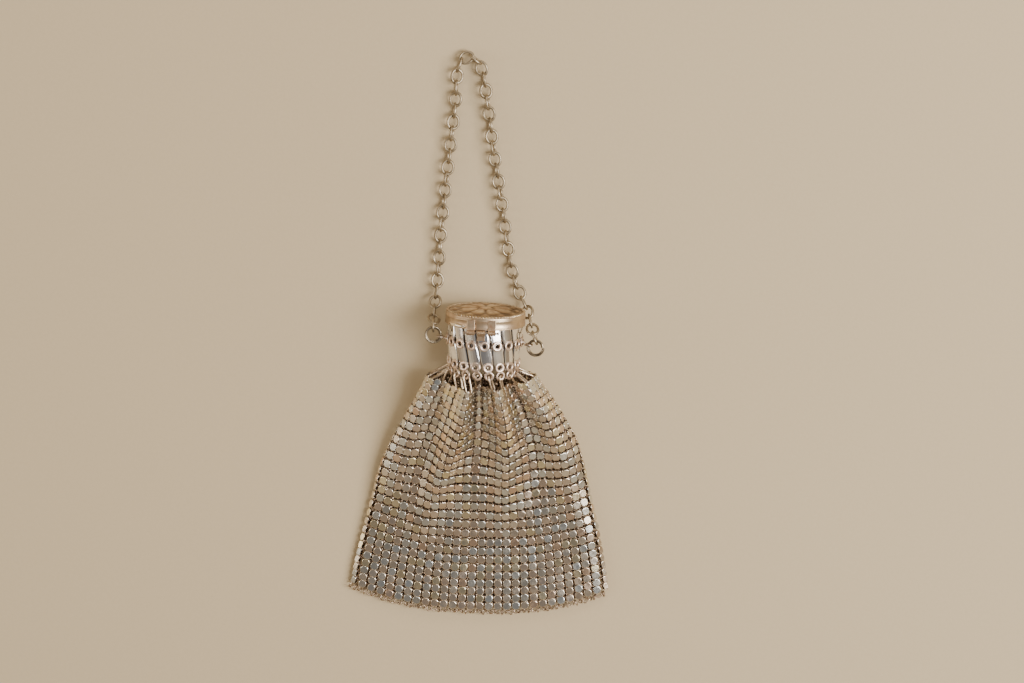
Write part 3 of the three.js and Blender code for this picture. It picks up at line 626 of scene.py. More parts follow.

# The rings' dark brown is painted shade: the same silver as the tiles, darkened for the shade in the holes under
# them; the hem's rings share it.
ring_shaded_metal = worn_metal("mesh_ring_silver_painted_shade", (0.55, 0.42, 0.32), (0.24, 0.15, 0.10), 900, 3000, 0.25, 0.5, 0.02)
ring_places = []
for row in range(TILE_ROWS - 1):
    for column in range(ROUND):
        after = (column + 1) % ROUND
        corners = [cloth[row][column], cloth[row][after], cloth[row + 1][column], cloth[row + 1][after]]
        frames = [cloth_frame(row, column), cloth_frame(row + 1, after)]
        out = (frames[0][2] + frames[1][2]).normalized()
        across = (frames[0][0] - out * frames[0][0].dot(out)).normalized()
        middle = sum(corners, Vector()) / 4 - out * RING_SINK
        ring_places.append((middle, facing(across, out.cross(across), out), (1, 1, 1)))
corner_ring = wire_ring("corner_ring", RING_RADIUS, RING_WIRE, 10, 4)
rings = lay_copies("mesh_rings", ring_places, corner_ring, ring_shaded_metal, 0.25, 7)

# Hem: a last row of loose wire rings closes the bottom of the bag and sticks out below the tiles.
# They hang in two layers, one between the columns and one under them, each leaning its own way.
hem_places = []
for column in range(FRONT_COLUMNS - 1):
    a, b = cloth[-1][column], cloth[-1][column + 1]
    across, up, out = cloth_frame(TILE_ROWS - 1, column)
    for spot, below, sink, lean, turn in (((a + b) / 2, 2.5, 0.5, 28, 65), (a, 2.2, 0.4, -20, 48)):
        centre = spot - up * below
        centre.z = max(centre.z * sink, HEM_RING_RADIUS + HEM_RING_WIRE)
        tip = Quaternion(across, math.radians(lean)) @ Quaternion(up, math.radians(turn))
        hem_places.append((centre, tip @ facing(across, up, out), (1, 1, 1)))
hem_ring = wire_ring("hem_ring", HEM_RING_RADIUS, HEM_RING_WIRE, 12, 5)
hem_rings = lay_copies("mesh_hem_rings", hem_places, hem_ring, ring_shaded_metal, 0.6, 11)

for piece in (tiles_front, tiles_back, rings, hem_rings):
    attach(piece, "purse")
    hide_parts("mesh_bag")

# Gate: 18 outer strips over 18 inner ones, crossing like a trellis, so that the mouth can open
# out. They are stamped from polished nickel silver, waisted at the rivets, and curved across.
NECK_X = -0.4
NECK_YAW = -2.4
NECK_Z = 13.4
STRIPS = 18
ROW_PITCH = 7.45
EYE_DROP = 3.0
RADIUS_TOP = 12.395
RADIUS_MIDDLE = 12.495
RADIUS_BOTTOM = 11.795
STRIP_THICKNESS = 0.35
LAYER_STEP = 0.65
STRIP_WAIST = 1.48
OUTER_LEAN = 0.36
INNER_LEAN = OUTER_LEAN - 1
STRIP_BELLY = 1.85
INNER_HALF_WIDTH = 1.55
EYE_RADIUS = 1.69
EYE_HOLE = 0.84
EYELET_HOLE = 0.7
BELLY_FROM = 0.34
BELLY_TO = 0.66
STRIP_CAMBER = 0.16
STRIP_EDGE = 0.09
STRIP_SHARES = (-1.0, -0.86, -0.45, 0.0, 0.45, 0.86, 1.0)
STATION_STEPS = 4
BEND_LENGTH = 2.4
PUNCH_SIDES = 16
# Rivet rows: height on the neck, radius, and the side of the middle row they are on.
ROWS = (
    (EYE_DROP + 2 * ROW_PITCH, RADIUS_TOP, -1),
    (EYE_DROP + ROW_PITCH, RADIUS_MIDDLE, 0),
    (EYE_DROP, RADIUS_BOTTOM, 1),
)
NECK = Matrix.Translation((NECK_X, EYE_ROW_Y, NECK_Z)) @ Matrix.Rotation(math.radians(NECK_YAW), 4, "Z")


def pivot(strip, row, lean, depth):
    """Where a strip is riveted in a row, in the neck's frame."""
    height, radius, side = row
    angle = math.tau * (strip + lean * side) / STRIPS
    return Vector(((radius - depth) * math.sin(angle), height, (radius - depth) * math.cos(angle)))


def half_frame(start, end, lower):
    """The frame of half a strip, from its middle rivet to an end one."""
    run = (end - start).normalized()
    out = start + end
    out.y = 0
    out = (out - run * out.dot(run)).normalized()
    if lower:
        run = -run
    return Matrix.Translation(start) @ Matrix((run.cross(out), run, out)).transposed().to_4x4()


def strip_layout(lean, depth):
    """The frames of a strip's two halves and the lengths from its middle rivet to the others."""
    top, middle, bottom = (pivot(0, row, lean, depth) for row in ROWS)
    frames = half_frame(middle, top, False), half_frame(middle, bottom, True)
    return frames, (top - middle).length, -(bottom - middle).length


def soft(share):
    """A share from 0 to 1, eased at both ends."""
    share = min(1.0, max(0.0, share))
    return share * share * (3 - 2 * share)


def on_strip(frames, point):
    """A point of the flat strip laid on the gate, turning softly past the middle rivet."""
    flat = Vector(point)
    return (frames[1] @ flat).lerp(frames[0] @ flat, soft(0.5 + point[1] / BEND_LENGTH))


def punched(plate, height):
    """Cuts a round rivet hole through a plate."""
    points = [
        (EYELET_HOLE * math.cos(angle), height + EYELET_HOLE * math.sin(angle), level)
        for level in (-1, 1) for angle in circle(PUNCH_SIDES)
    ]
    faces = [tuple(reversed(range(PUNCH_SIDES))), tuple(range(PUNCH_SIDES, 2 * PUNCH_SIDES))]
    punch = mesh_object("punch", points, faces + turned_over(row_faces(2, PUNCH_SIDES)), smooth=False)
    cut = plate.modifiers.new("punch", "BOOLEAN")
    cut.object = punch
    cut.solver = "EXACT"
    plate.data = bpy.data.meshes.new_from_object(plate.evaluated_get(bpy.context.evaluated_depsgraph_get()))
    plate.modifiers.clear()
    bpy.data.objects.remove(punch)


def strip_part(name, stations, frames, holes):
    """A strip in the neck's frame: stations are (place, half width) up the strip."""
    dense = []
    for (low, half_low), (high, half_high) in zip(stations, stations[1:]):
        for step in range(STATION_STEPS):
            share = step / STATION_STEPS
            dense.append((low + (high - low) * share, half_low + (half_high - half_low) * soft(share)))
    dense.append(stations[-1])
    half = STRIP_THICKNESS / 2
    flat = []
    for height, wide in dense:
        for share in STRIP_SHARES:
            edge = STRIP_EDGE if abs(share) == 1 else 0.0
            flat.append((share * wide, height, half - STRIP_CAMBER * share * share - edge))
        for share in reversed(STRIP_SHARES):
            flat.append((share * wide, height, -half - STRIP_CAMBER * share * share))
    ring = 2 * len(STRIP_SHARES)
    faces = [tuple(range(ring)), tuple(reversed(range(len(flat) - ring, len(flat))))]
    for level in range(len(dense) - 1):
        low, high = level * ring, (level + 1) * ring
        for step in range(ring):
            after = (step + 1) % ring
            faces.append((low + after, low + step, high + step, high + after))
    made = mesh_object(name, flat, faces, smooth=False)
    for height in holes:
        punched(made, height)
    for vertex in made.data.vertices:
        vertex.co = on_strip(frames, vertex.co / MM) * MM
    return made


def joined(name, parts):
    """One object out of several, whose meshes are already in place."""
    with bpy.context.temp_override(active_object=parts[0], selected_editable_objects=parts):
        bpy.ops.object.join()
    parts[0].name = parts[0].data.name = name
    return parts[0]


def round_neck():
    """Places for a strip that is drawn in the neck's frame, repeated round its axis."""
    neck_turn = NECK.to_quaternion()
    turns = [neck_turn @ Quaternion((0, 1, 0), angle) for angle in circle(STRIPS)]
    return [(NECK.translation, turn, (1, 1, 1)) for turn in turns]


gate_metal = worn_metal("gate_silver", (0.93, 0.93, 0.94), (0.80, 0.77, 0.74), 160, 2200, 0.06, 0.20, 0.012)
# The inner strips' dark brown is painted shade: the same nickel silver as the outer strips, darkened for the
# shade under them.
inner_shaded_metal = worn_metal("gate_inner_silver", (0.50, 0.42, 0.35), (0.26, 0.19, 0.14), 300, 1800, 0.25, 0.45, 0.02)
rim_metal = worn_metal("eyelet_silver", (0.84, 0.70, 0.60), (0.58, 0.43, 0.34), 700, 2600, 0.25, 0.45, 0.02)

outer_frames, outer_top, outer_bottom = strip_layout(OUTER_LEAN, 0)
outer_eye = outer_bottom - EYE_DROP
outer_strip = strip_part("outer_strip", [
    (outer_eye + EYE_RADIUS * 0.8, 0.72),
    (outer_bottom - 1.1, 1.12),
    (outer_bottom, STRIP_WAIST),
    (outer_bottom * BELLY_TO, STRIP_BELLY),
    (outer_bottom * BELLY_FROM, STRIP_BELLY),
    (0, STRIP_WAIST),
    (outer_top * BELLY_FROM, STRIP_BELLY),
    (outer_top * BELLY_TO, STRIP_BELLY),
    (outer_top, STRIP_WAIST),
    (outer_top + 1.1, 0.9),
], outer_frames, (outer_bottom, 0, outer_top))
outer_strips = lay_copies("gate_outer_strips", round_neck(), outer_strip, gate_metal, 0.0, 13)
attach(outer_strips, "purse")
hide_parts(*[f"gate_outer_strip_{number + 1:02d}" for number in range(STRIPS)])

inner_frames, inner_top, inner_bottom = strip_layout(INNER_LEAN, LAYER_STEP)
inner_strip = strip_part("inner_strip", [
    (inner_bottom - 1.5, 0.9),
    (inner_bottom, INNER_HALF_WIDTH),
    (inner_bottom * 0.5, INNER_HALF_WIDTH),
    (0, INNER_HALF_WIDTH),
    (inner_top * 0.5, INNER_HALF_WIDTH),
    (inner_top, INNER_HALF_WIDTH),
    (inner_top + 1.5, 0.9),
], inner_frames, (inner_bottom, 0, inner_top))
inner_strips = lay_copies("gate_inner_strips", round_neck(), inner_strip, inner_shaded_metal, 0.0, 17)
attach(inner_strips, "purse")
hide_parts(*[f"gate_inner_strip_{number + 1:02d}" for number in range(STRIPS)])

# Eyelets: short tubes that hold each outer strip to an inner one, rolled over on both faces,
# and below them the eye that ends each outer strip, a ring bent from the same plate.
# Profiles of turned parts: radius, then height over the strip.
EYELET_PROFILE = (
    (0.62, -1.2), (0.66, -0.9), (0.66, 0.22), (0.74, 0.42), (0.9, 0.54),
    (1.26, 0.56), (1.48, 0.46), (1.56, 0.3), (1.5, 0.14), (0.78, 0.12),
    (0.76, -0.85), (1.05, -0.98), (1.12, -1.1), (0.95, -1.24), (0.72, -1.28),
)
EYELET_SIZE = 1.14
EYE_HALF_THICKNESS = 0.3


def turned(name, profile, turns):
    """A closed ring turned round Z from a closed profile of (radius, height)."""
    points = []
    for angle in circle(turns):
        points += [(radius * math.cos(angle), radius * math.sin(angle), height) for radius, height in profile]
    return mesh_object(name, points, row_faces(turns, len(profile), closed=True))


eyelet_places = []
for row in ROWS:
    for strip in range(STRIPS):
        seat = pivot(strip, row, OUTER_LEAN, 0)
        out = Vector((seat.x, 0, seat.z)).normalized()
        up = Vector((0, 1, 0))
        turn = NECK.to_quaternion() @ facing(up.cross(out), up, out)
        eyelet_places.append((NECK @ seat, turn, (EYELET_SIZE, EYELET_SIZE, 1)))
eyelet = turned("eyelet", EYELET_PROFILE, 20)
eyelets = lay_copies("gate_eyelets", eyelet_places, eyelet, rim_metal, 0.03, 19)
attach(eyelets, "purse")

eye_width = (EYE_RADIUS - EYE_HOLE) / 2
eye_profile = [
    (EYE_HOLE + eye_width * (1 - math.cos(angle)), EYE_HALF_THICKNESS * math.sin(angle))
    for angle in (math.pi * step / 5 for step in range(10))
]
eye_places = []
for angle in circle(STRIPS):
    spin = Quaternion((0, 1, 0), angle)
    centre = spin @ (outer_frames[1] @ Vector((0, outer_eye, 0)))
    axes = [spin @ outer_frames[1].to_3x3().col[axis] for axis in range(3)]
    turn = NECK.to_quaternion() @ facing(*axes)
    eye_places.append((NECK @ centre, turn, (1, 1, 1)))
eyes = lay_copies("gate_eyes", eye_places, turned("eye", eye_profile, 22), rim_metal, 0.0, 23)
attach(eyes, "purse")

# Links: an oval of brass wire runs from each eye down to a ring of the bag's top row, where it
# holds every third tile. The ovals lean one way and the other by turns.
LINK_WIRE_RADIUS = 0.33
LINK_HALF_WIDTH = 1.05
LINK_OVERLAP = 0.1
LINK_LEANS = (24, 38)
link_metal = worn_metal("link_brass", (0.80, 0.66, 0.50), (0.42, 0.32, 0.24), 600, 2400, 0.18, 0.42, 0.02)
link_parts = []
for strip, (centre, turn, _) in enumerate(eye_places):
    local = NECK.inverted() @ centre
    angle = math.atan2(local.x, local.z)
    front = math.cos(angle) > 0
    folded = angle if front else math.pi - angle
    share = math.atan2(math.sin(folded), math.cos(folded)) / math.pi + 0.5
    if front:
        column = round(share * FRONT_COLUMNS - 0.5)
    else:
        column = ROUND - 1 - round(share * BACK_COLUMNS - 0.5)
    column = (3 * round((column - 1) / 3) + 1) % ROUND
    foot = cloth[0][column] - cloth_frame(0, column)[2] * 0.5
    run = foot - centre
    forward = run.normalized()
    out = turn @ Vector((0, 0, 1))
    side = (out - forward * out.dot(forward)).normalized()
    side = Quaternion(forward, math.radians(LINK_LEANS[strip % 2])) @ side
    stretch = max(0.2, run.length / 2 - LINK_HALF_WIDTH + LINK_OVERLAP)
    part = wire_ring(f"link_{strip}", LINK_HALF_WIDTH, LINK_WIRE_RADIUS, 20, 8, stretch)
    middle = (centre + foot) / 2
    place = Matrix.Translation(middle * MM) @ facing(forward, side, forward.cross(side)).to_matrix().to_4x4()
    part.data.transform(place)
    part.data.materials.append(link_metal)
    link_parts.append(part)
links_piece = joined("mouth_links", link_parts)
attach(links_piece, "purse")

# Lid: a shallow pressed cap whose skirt slips over the gate. Its top is pressed from below into a
# rosette of eight leaves round a boss, inside a ring of lobes and a fine bead.
LID_RADIUS = 13.4
LID_WALL = 0.38
LID_PLANE = 20.094
LID_CEILING = 19.694
SKIRT_EDGE = 15.994
LID_CORD = 0.55
LID_DOME = 0.9
LID_TURNS = 156
LEAF_FROM, LEAF_TO, LEAF_RISE = 2.4, 9.4, 0.62
BOSS_RADIUS, BOSS_RISE = 2.3, 0.7
LOBE_PLACE, LOBE_RISE = 10.4, 0.5
BEAD_PLACE, BEAD_RISE = 11.75, 0.3


def lid_relief(radius, angle):
    """Height of the pressed ornament over the lid's plane, and how far the place stands proud."""
    share = radius / (LID_RADIUS - LID_CORD)
    base = LID_DOME * (1 - share * share) * 0.72
    leaf = abs(math.sin(4 * angle))
    reach_out = min(1.0, max(0.0, (radius - LEAF_FROM) / 1.2)) * min(1.0, max(0.0, (LEAF_TO - radius) / 1.6))
    width = 0.42 + 0.4 * math.sin(min(1.0, max(0.0, (radius - 2.0) / 7.4)) * math.pi)
    petal = max(0.0, 1 - (1 - leaf) / width) ** 0.5
    vein = 0.2 * math.exp(-((1 - leaf) / 0.012) ** 2)
    proud = LEAF_RISE * reach_out * petal - vein * reach_out
    proud += BOSS_RISE * math.sqrt(max(0.0, 1 - (radius / BOSS_RADIUS) ** 2))
    lobes = max(0.0, math.cos(12 * angle)) ** 0.6
    proud += LOBE_RISE * lobes * math.exp(-((radius - LOBE_PLACE) / 0.8) ** 2)
    proud += BEAD_RISE * math.exp(-((radius - BEAD_PLACE) / 0.24) ** 2)
    return base + proud, min(1.0, max(0.0, proud / 0.5))


# Edge and skirt in section: radius, then height over the lid's plane.
lid_outline = [
    (LID_RADIUS - 0.55, 0.05), (LID_RADIUS - 0.12, -0.02), (LID_RADIUS, -0.25),
    (LID_RADIUS, -0.95), (LID_RADIUS + 0.1, -1.1), (LID_RADIUS + 0.1, -1.25), (LID_RADIUS, -1.4),
    (LID_RADIUS, SKIRT_EDGE + 0.4 - LID_PLANE), (LID_RADIUS + 0.14, SKIRT_EDGE + 0.22 - LID_PLANE),
    (LID_RADIUS + 0.08, SKIRT_EDGE - LID_PLANE),
    (LID_RADIUS - LID_WALL, SKIRT_EDGE - LID_PLANE), (LID_RADIUS - LID_WALL, LID_CEILING - LID_PLANE - 0.25),
    (LID_RADIUS - LID_WALL - 0.3, LID_CEILING - LID_PLANE),
]
lid_rings = [0.32 * step for step in range(1, 40)]
boss_height, boss_proud = lid_relief(0, 0)
lid_points, lid_proud = [(0, LID_PLANE + boss_height, 0)], [boss_proud]
lid_angles = circle(LID_TURNS)
lid_rows = [[(radius, *lid_relief(radius, angle)) for angle in lid_angles] for radius in lid_rings]
for index, (radius, rise) in enumerate(lid_outline):
    lid_rows.append([(radius, rise, 0.8 if index else 0.0)] * LID_TURNS)
for row in lid_rows:
    for angle, (radius, rise, proud) in zip(lid_angles, row):
        lid_points.append((radius * math.sin(angle), LID_PLANE + rise, radius * math.cos(angle)))
        lid_proud.append(proud)
lid_points.append((0, LID_CEILING, 0))
lid_proud.append(0.0)
lid_faces = row_faces(len(lid_rows), LID_TURNS, first=1)
under = len(lid_points) - 1
for turn in range(LID_TURNS):
    after = (turn + 1) % LID_TURNS
    lid_faces.append((0, 1 + turn, 1 + after))
    lid_faces.append((under - LID_TURNS + after, under - LID_TURNS + turn, under))


def on_neck(piece):
    """Moves a piece drawn in the neck's frame to its place."""
    piece.data.transform(Matrix.Scale(MM, 4) @ NECK @ Matrix.Scale(1 / MM, 4))
    return piece


lid_shell = on_neck(mesh_object("lid_shell", lid_points, lid_faces))
lid_shell.data.attributes.new("proud", "FLOAT", "POINT").data.foreach_set("value", lid_proud)
lid_metal = worn_metal("lid_silver", (0.70, 0.56, 0.39), (0.48, 0.33, 0.22), 260, 1800, 0.28, 0.5, 0.03)
recess = blended(lid_metal, "MIX", 7)
recess.inputs[6].default_value = (0.20, 0.125, 0.07, 1)
proud = add_node(lid_metal.node_tree, "ShaderNodeAttribute", attribute_name="proud")
connect(lid_metal.node_tree, (proud, "Fac", recess, 0))
lid_shell.data.materials.append(lid_metal)
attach(lid_shell, "lid")
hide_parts("lid")

# Roped rim: a twisted cord of the same metal, soldered round the edge of the lid's top. Each of
# its turns is one slanting bead.
ROPE_BEADS = 74
rope_metal = worn_metal("rope_silver", (0.70, 0.57, 0.40), (0.36, 0.25, 0.16), 500, 2000, 0.28, 0.5, 0.02)


def bead_part(name, length, width, height, rings=5, sides=8):
    """A small low ellipsoid along X."""
    points = [(-length, 0, 0)]
    for ring in range(1, rings):
        x, girth = -length * math.cos(math.pi * ring / rings), math.sin(math.pi * ring / rings)
        for tilt in circle(sides):
            points.append((x, width * girth * math.cos(tilt), height * girth * math.sin(tilt)))
    points.append((length, 0, 0))
    faces = turned_over(row_faces(rings - 1, sides, first=1))
    last = len(points) - 1
    for side in range(sides):
        after = (side + 1) % sides
        faces += [(0, 1 + after, 1 + side), (last - sides + side, last - sides + after, last)]
    return mesh_object(name, points, faces)


rope_places = []
neck_up = Vector((0, 1, 0))
for angle in circle(ROPE_BEADS):
    out = Vector((math.sin(angle), 0, math.cos(angle)))
    centre = out * (LID_RADIUS - LID_CORD) + Vector((0, LID_PLANE + 0.12, 0))
    along_bead = (neck_up.cross(out) + out * 0.75).normalized()
    turn = NECK.to_quaternion() @ facing(along_bead, along_bead.cross(neck_up), neck_up)
    rope_places.append((NECK @ centre, turn, (1, 1, 1)))
rope = lay_copies("lid_roped_rim", rope_places, bead_part("bead", 0.78, 0.36, 0.42), rope_metal, 0.02, 29)
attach(rope, "lid")

# Thumb lip: a small half-round lip rolled out of the skirt's edge at the left, for opening the
# lid. It is the same metal as the lid, polished by use, and its cream colour, much lighter than
# the lid's, is partly a painted highlight.
LIP_CENTRE = math.radians(-46)
LIP_SPAN = math.radians(34)
LIP_REACH = 1.0
LIP_HALF_HEIGHT = 0.62
LIP_STEPS, LIP_SIDES = 24, 12
lip_points = []
for step in range(LIP_STEPS + 1):
    share = step / LIP_STEPS * 2 - 1
    angle = LIP_CENTRE + share * LIP_SPAN / 2
    bulge = math.sqrt(max(0.0004, 1 - share * share))
    for tilt in circle(LIP_SIDES):
        radius = LID_RADIUS - 0.1 + bulge * (LIP_REACH / 2 + LIP_REACH / 2 * math.cos(tilt))
        height = SKIRT_EDGE + 0.75 + bulge * LIP_HALF_HEIGHT * math.sin(tilt)
        lip_points.append((radius * math.sin(angle), height, radius * math.cos(angle)))
lip_faces = row_faces(LIP_STEPS + 1, LIP_SIDES)
lip_faces.append(tuple(range(LIP_SIDES)))
lip_faces.append(tuple(LIP_STEPS * LIP_SIDES + side for side in reversed(range(LIP_SIDES))))
lip = on_neck(mesh_object("lid_thumb_lip", lip_points, lip_faces))
# Partly polish, partly painted highlight: the lip's cream is much lighter than the lid's metal.
lip_lit_metal = worn_metal("lip_silver_polish_and_highlight", (0.95, 0.88, 0.76), (0.80, 0.68, 0.54), 700, 2400, 0.1, 0.28, 0.015)
lip.data.materials.append(lip_lit_metal)
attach(lip, "lid")

# Hinge: a knuckle on the front strip between two on the lid, each rolled from a stamped leaf, all
# on one steel pin with headed ends.
HINGE_X = -1.2
HINGE_Y = 15.194
HINGE_Z = 14.02
KNUCKLE_RADIUS = 0.8
KNUCKLE_LENGTH = 2.7
KNUCKLE_STEP = 3.5
HINGE_BORE = 0.42
LEAF_THICKNESS = 0.42
# Sections: place along a knuckle or pin, then radius; across a leaf, side then lift.
KNUCKLE_PROFILE = (
    (0.0, HINGE_BORE), (0.0, 0.7), (0.04, KNUCKLE_RADIUS), (0.3, KNUCKLE_RADIUS),
    (0.33, 0.74), (0.36, KNUCKLE_RADIUS), (0.64, KNUCKLE_RADIUS), (0.67, 0.74),
    (0.7, KNUCKLE_RADIUS), (0.96, KNUCKLE_RADIUS), (1.0, 0.7), (1.0, HINGE_BORE),
)
PIN_PROFILE = (
    (-0.055, 0.02), (-0.055, 0.34), (-0.035, 0.52), (-0.005, 0.55), (-0.002, 0.3), (0.5, 0.3),
    (1.002, 0.3), (1.005, 0.55), (1.035, 0.52), (1.055, 0.34), (1.055, 0.02),
)
GATE_LEAF = ((12.4, 12.86), (13.6, 12.9), (14.5, 13.05), (14.9, 13.4))
LID_LEAF = ((15.6, 14.0), (16.1, 13.74), (17.0, 13.62), (19.4, 13.6))


def bar(name, centre, half, profile, turns=20):
    """A turned bar along X from a closed profile of (place along it, radius)."""
    points = []
    for angle in circle(turns):
        for place, radius in profile:
            x = centre - half + 2 * half * place
            points.append((x, HINGE_Y + radius * math.cos(angle), HINGE_Z + radius * math.sin(angle)))
    return mesh_object(name, points, row_faces(turns, len(profile), closed=True), smooth=False)


def knuckle(centre):
    return bar("knuckle", centre, KNUCKLE_LENGTH / 2, KNUCKLE_PROFILE)


def leaf(centre, path):
    """A bent plate as wide as a knuckle, from a path of (along the neck, out from its axis)."""
    half = KNUCKLE_LENGTH / 2 - 0.06
    rim = ((-half, -0.5), (half, -0.5), (half, 0.35), (half - 0.12, 0.5), (-half + 0.12, 0.5), (-half, 0.35))
    spots = [Vector((0, *spot)) for spot in path]
    points = []
    for index, spot in enumerate(spots):
        ahead = (spots[min(index + 1, len(spots) - 1)] - spots[max(index - 1, 0)]).normalized()
        side = Vector((1, 0, 0)).cross(ahead)
        points += [spot + side * lift * LEAF_THICKNESS + Vector((centre + x, 0, 0)) for x, lift in rim]
    faces = turned_over(row_faces(len(spots), len(rim)))
    faces.append(tuple(reversed(range(len(rim)))))
    faces.append(tuple(range(len(points) - len(rim), len(points))))
    return mesh_object("leaf", points, faces, smooth=False)


def outwards(piece):
    """Turns a piece's faces to point outwards."""
    shape = bmesh.new()
    shape.from_mesh(piece.data)
    bmesh.ops.recalc_face_normals(shape, faces=shape.faces)
    shape.to_mesh(piece.data)
    shape.free()
    return piece


# The hinge's dark brown is painted shade: knuckles and leaves are darkened for the shade under the lid's
# overhang.
hinge_shaded_metal = worn_metal("hinge_metal_painted_shade", (0.52, 0.39, 0.26), (0.27, 0.165, 0.10), 500, 2200, 0.25, 0.5, 0.02)
gate_hinge = outwards(on_neck(joined("gate_hinge", [knuckle(HINGE_X), leaf(HINGE_X, GATE_LEAF)])))
lid_hinge_parts = []
for centre in (HINGE_X - KNUCKLE_STEP, HINGE_X + KNUCKLE_STEP):
    lid_hinge_parts += [knuckle(centre), leaf(centre, LID_LEAF)]
lid_hinge = outwards(on_neck(joined("lid_hinge", lid_hinge_parts)))
for piece, body, finish in ((gate_hinge, "purse", "gate_silver"), (lid_hinge, "lid", "lid_silver")):
    piece.data.materials.append(hinge_shaded_metal)
    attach(piece, body)

pin_half = KNUCKLE_STEP + KNUCKLE_LENGTH / 2 + 0.5
pin = outwards(on_neck(bar("lid_hinge_steel", HINGE_X, pin_half, PIN_PROFILE)))
pin_metal = worn_metal("pin_steel", (0.46, 0.40, 0.34), (0.20, 0.14, 0.10), 800, 2600, 0.25, 0.5, 0.02)
pin.data.materials.append(pin_metal)
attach(pin, "purse")
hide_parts("lid_hinge_pin")

# Chain eyes: a turned eye stands on a stud at each side of the gate and carries a split ring,
# two close turns of hard wire, darker than the rest.
SIDE_EYE_RADIUS = 1.15
SIDE_EYE_WIRE = 0.35
SIDE_EYE_REACH = 2.575
SPLIT_RING_RADIUS = 2.5
SPLIT_RING_WIRE = 0.34
FLANGE_PROFILE = ((0.1, 0.0), (0.85, 0.0), (1.0, 0.1), (0.95, 0.3), (0.6, 0.48), (0.1, 0.5))
COIL_STEPS = 96
COIL_SPREAD = 0.62
# Side, strip, drop below its middle rivet, direction from the eye and tilt of the split ring.
RING_PLACES = (("left", -4, -0.8, 164, 8), ("right", 4, 0.8, -20, -8))
eye_metal = worn_metal("eye_brass", (0.62, 0.52, 0.42), (0.30, 0.22, 0.16), 700, 2400, 0.2, 0.42, 0.02)
split_metal = worn_metal("split_ring_steel", (0.30, 0.25, 0.18), (0.14, 0.105, 0.07), 700, 2400, 0.2, 0.42, 0.02)


def swept(name, spots, wire, sides=8):
    """A round wire through a row of points, with closed ends."""
    points = []
    out = None
    for index, spot in enumerate(spots):
        ahead = (spots[min(index + 1, len(spots) - 1)] - spots[max(index - 1, 0)]).normalized()
        out = ahead.orthogonal().normalized() if out is None else (out - ahead * out.dot(ahead)).normalized()
        side = ahead.cross(out)
        for turn in circle(sides):
            points.append(spot + (out * math.cos(turn) + side * math.sin(turn)) * wire)
    faces = turned_over(row_faces(len(spots), sides))
    faces.append(tuple(reversed(range(sides))))
    faces.append(tuple(range(len(points) - sides, len(points))))
    return mesh_object(name, points, faces)


ring_centres = {}
for side, strip, drop, from_eye, tilt in RING_PLACES:
    seat = pivot(strip, ROWS[1], 0, 0)
    out = Vector((seat.x, 0, seat.z)).normalized()
    eye = seat + out * SIDE_EYE_REACH
    eye.y -= drop
    loop = wire_ring("loop", SIDE_EYE_RADIUS, SIDE_EYE_WIRE, 24, 10)
    loop.data.transform(Matrix.Translation(eye * MM) @ Matrix.Rotation(math.pi / 2, 4, "X"))
    foot = seat + out * 0.5
    inwards = (foot - eye).normalized()
    stem_spots = [eye + inwards * SIDE_EYE_RADIUS, eye + inwards * (SIDE_EYE_RADIUS + 0.4), foot]
    stem = swept("stem", stem_spots, 0.42, 10)
    flange = turned("flange", FLANGE_PROFILE, 18)
    flange.data.transform(Matrix.Translation(foot * MM) @ out.to_track_quat("Z", "Y").to_matrix().to_4x4())
    stud = outwards(on_neck(joined(f"chain_stud_{side}", [loop, stem, flange])))
    stud.data.materials.append(eye_metal)
    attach(stud, "purse")
    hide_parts(f"chain_eye_{side}")

    around = math.radians(from_eye)
    hang = Vector((math.cos(around), math.sin(around), 0)) * SPLIT_RING_RADIUS
    lean = Matrix.Rotation(math.radians(tilt), 3, "Y")
    coil = []
    for step in range(COIL_STEPS + 1):
        turn = 4 * math.pi * step / COIL_STEPS
        layer = (step / COIL_STEPS - 0.5) * 2 * SPLIT_RING_WIRE
        reach_out = SPLIT_RING_RADIUS + (step / COIL_STEPS - 0.5) * COIL_SPREAD
        flat = Vector((reach_out * math.cos(turn), reach_out * math.sin(turn), layer))
        coil.append(eye + lean @ (hang + flat))
    split_ring = outwards(on_neck(swept(f"split_ring_{side}", coil, SPLIT_RING_WIRE, 8)))
    split_ring.data.materials.append(split_metal)
    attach(split_ring, "purse")
    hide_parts(f"chain_ring_{side}")
    ring_centres[side] = NECK @ (eye + hang)

# Chain: 53 soldered oval links of dull brass wire, flat and on edge by turns, laid up beyond the
# lid and back from one split ring to the other.
LINK_COUNT = 53
CHAIN_WIDTH = 4.6
CHAIN_WIRE = 0.43
CHAIN_LIE = 2.4
CHAIN_REACH = 104.9
CHAIN_LEAN = math.radians(14)
HOOK_DEPTH = 0.81
ROUTE_STEPS = 40
# Places across, along and lifted, as shares of the lid's radius, the chain's reach and the radius.
CHAIN_ROUTE = (
    (-1.2761, 0.1611, 0.6567), (-1.2612, 0.1907, 0.3433), (-1.2313, 0.2288, 0.0896), (-1.1866, 0.2812, 0),
    (-1.0821, 0.4576, 0), (-0.9030, 0.6578, 0), (-0.7164, 0.8551, 0), (-0.6418, 0.9609, 0), (-0.4478, 1.0, 0),
    (-0.1418, 0.9800, 0), (0.0224, 0.9018, 0), (0.2164, 0.7083, 0), (0.4478, 0.5138, 0), (0.6716, 0.3146, 0),
    (0.8134, 0.2526, 0), (0.9701, 0.2069, 0.0821), (1.1082, 0.1697, 0.3134), (1.1828, 0.1373, 0.6418),
)
stops = [
    Vector((x * LID_RADIUS, y * CHAIN_REACH + EYE_ROW_Y, CHAIN_LIE + z * LID_RADIUS))
    for x, y, z in CHAIN_ROUTE
]
hooks = []
for side, nearest in (("left", stops[0]), ("right", stops[-1])):
    wire = ring_centres[side] + Vector((0, SPLIT_RING_RADIUS, 0))
    hooks.append(wire - (nearest - wire).normalized() * HOOK_DEPTH)
stops = [hooks[0], *stops, hooks[1]]


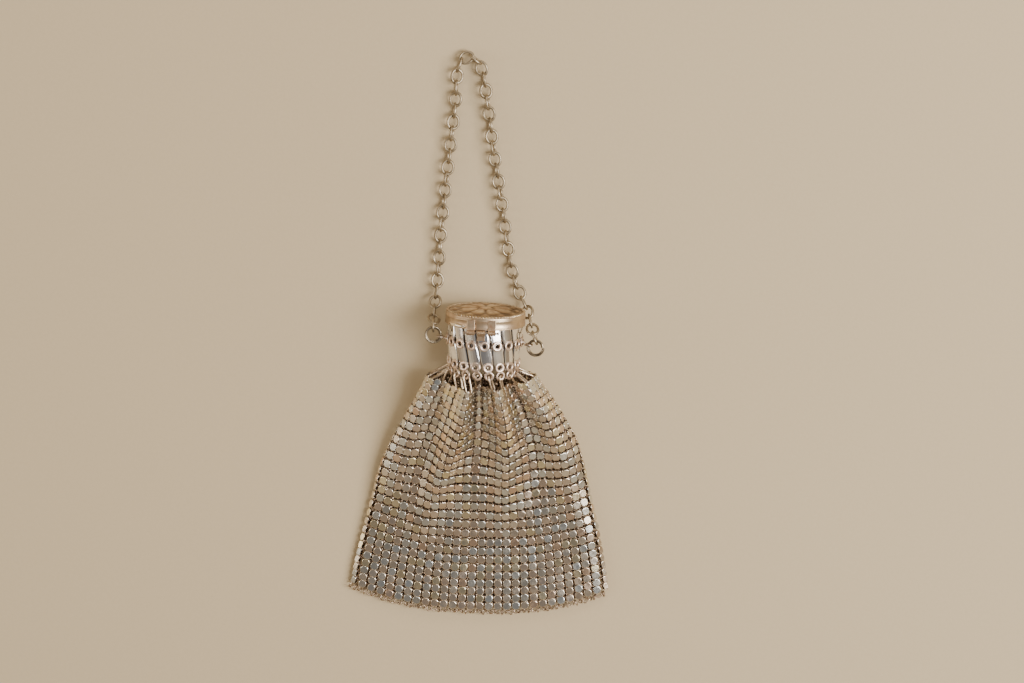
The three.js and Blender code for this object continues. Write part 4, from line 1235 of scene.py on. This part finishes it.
def smooth_route(spots, steps):
    """Points along a curve through the spots, its speed set by the gaps between them."""
    ends = [spots[0] * 2 - spots[1], *spots, spots[-1] * 2 - spots[-2]]
    trail = []
    for before, a, b, after in zip(ends, ends[1:], ends[2:], ends[3:]):
        gaps = [math.sqrt(max(1e-4, (q - p).length)) for p, q in ((before, a), (a, b), (b, after))]
        leave = ((a - before) / gaps[0] - (b - before) / (gaps[0] + gaps[1]) + (b - a) / gaps[1]) * gaps[1]
        arrive = ((b - a) / gaps[1] - (after - a) / (gaps[1] + gaps[2]) + (after - b) / gaps[2]) * gaps[1]
        for step in range(steps):
            trail.append(curve(a, b, leave, arrive, step / steps))
    trail.append(spots[-1])
    return trail


def evenly(trail, count):
    """count + 1 points at equal steps along a trail."""
    lengths = [0.0]
    for a, b in zip(trail, trail[1:]):
        lengths.append(lengths[-1] + (b - a).length)
    spots = []
    for index in range(count + 1):
        step, share = paced(lengths, min(lengths[-1] * index / count, lengths[-1] - 1e-9))
        spots.append(trail[step].lerp(trail[step + 1], share))
    return spots


joints = evenly(smooth_route(stops, ROUTE_STEPS), LINK_COUNT)
link_step = sum((b - a).length for a, b in zip(joints, joints[1:])) / LINK_COUNT
link_places = []
for index, (a, b) in enumerate(zip(joints, joints[1:])):
    forward = (b - a).normalized()
    level = Vector((0, 0, 1)).cross(forward).normalized()
    roll = (math.pi / 2 if index % 2 == 0 else 0) + CHAIN_LEAN * math.sin(index * 1.7)
    across = Quaternion(forward, roll) @ level
    link_places.append(((a + b) / 2, facing(forward, across, forward.cross(across)), (1, 1, 1)))
half_link = link_step / 2 + CHAIN_WIRE - 0.06
link_bend = CHAIN_WIDTH / 2 - CHAIN_WIRE
chain_link = wire_ring("chain_link", link_bend, CHAIN_WIRE, 28, 10)
for vertex in chain_link.data.vertices:
    vertex.co.x *= half_link / link_bend
chain_metal = worn_metal("chain_brass", (0.44, 0.365, 0.26), (0.26, 0.205, 0.135), 300, 1500, 0.36, 0.55, 0.02)
chain = lay_copies("chain_links", link_places, chain_link, chain_metal, 0.0, 31)
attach(chain, "purse")
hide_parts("chain")
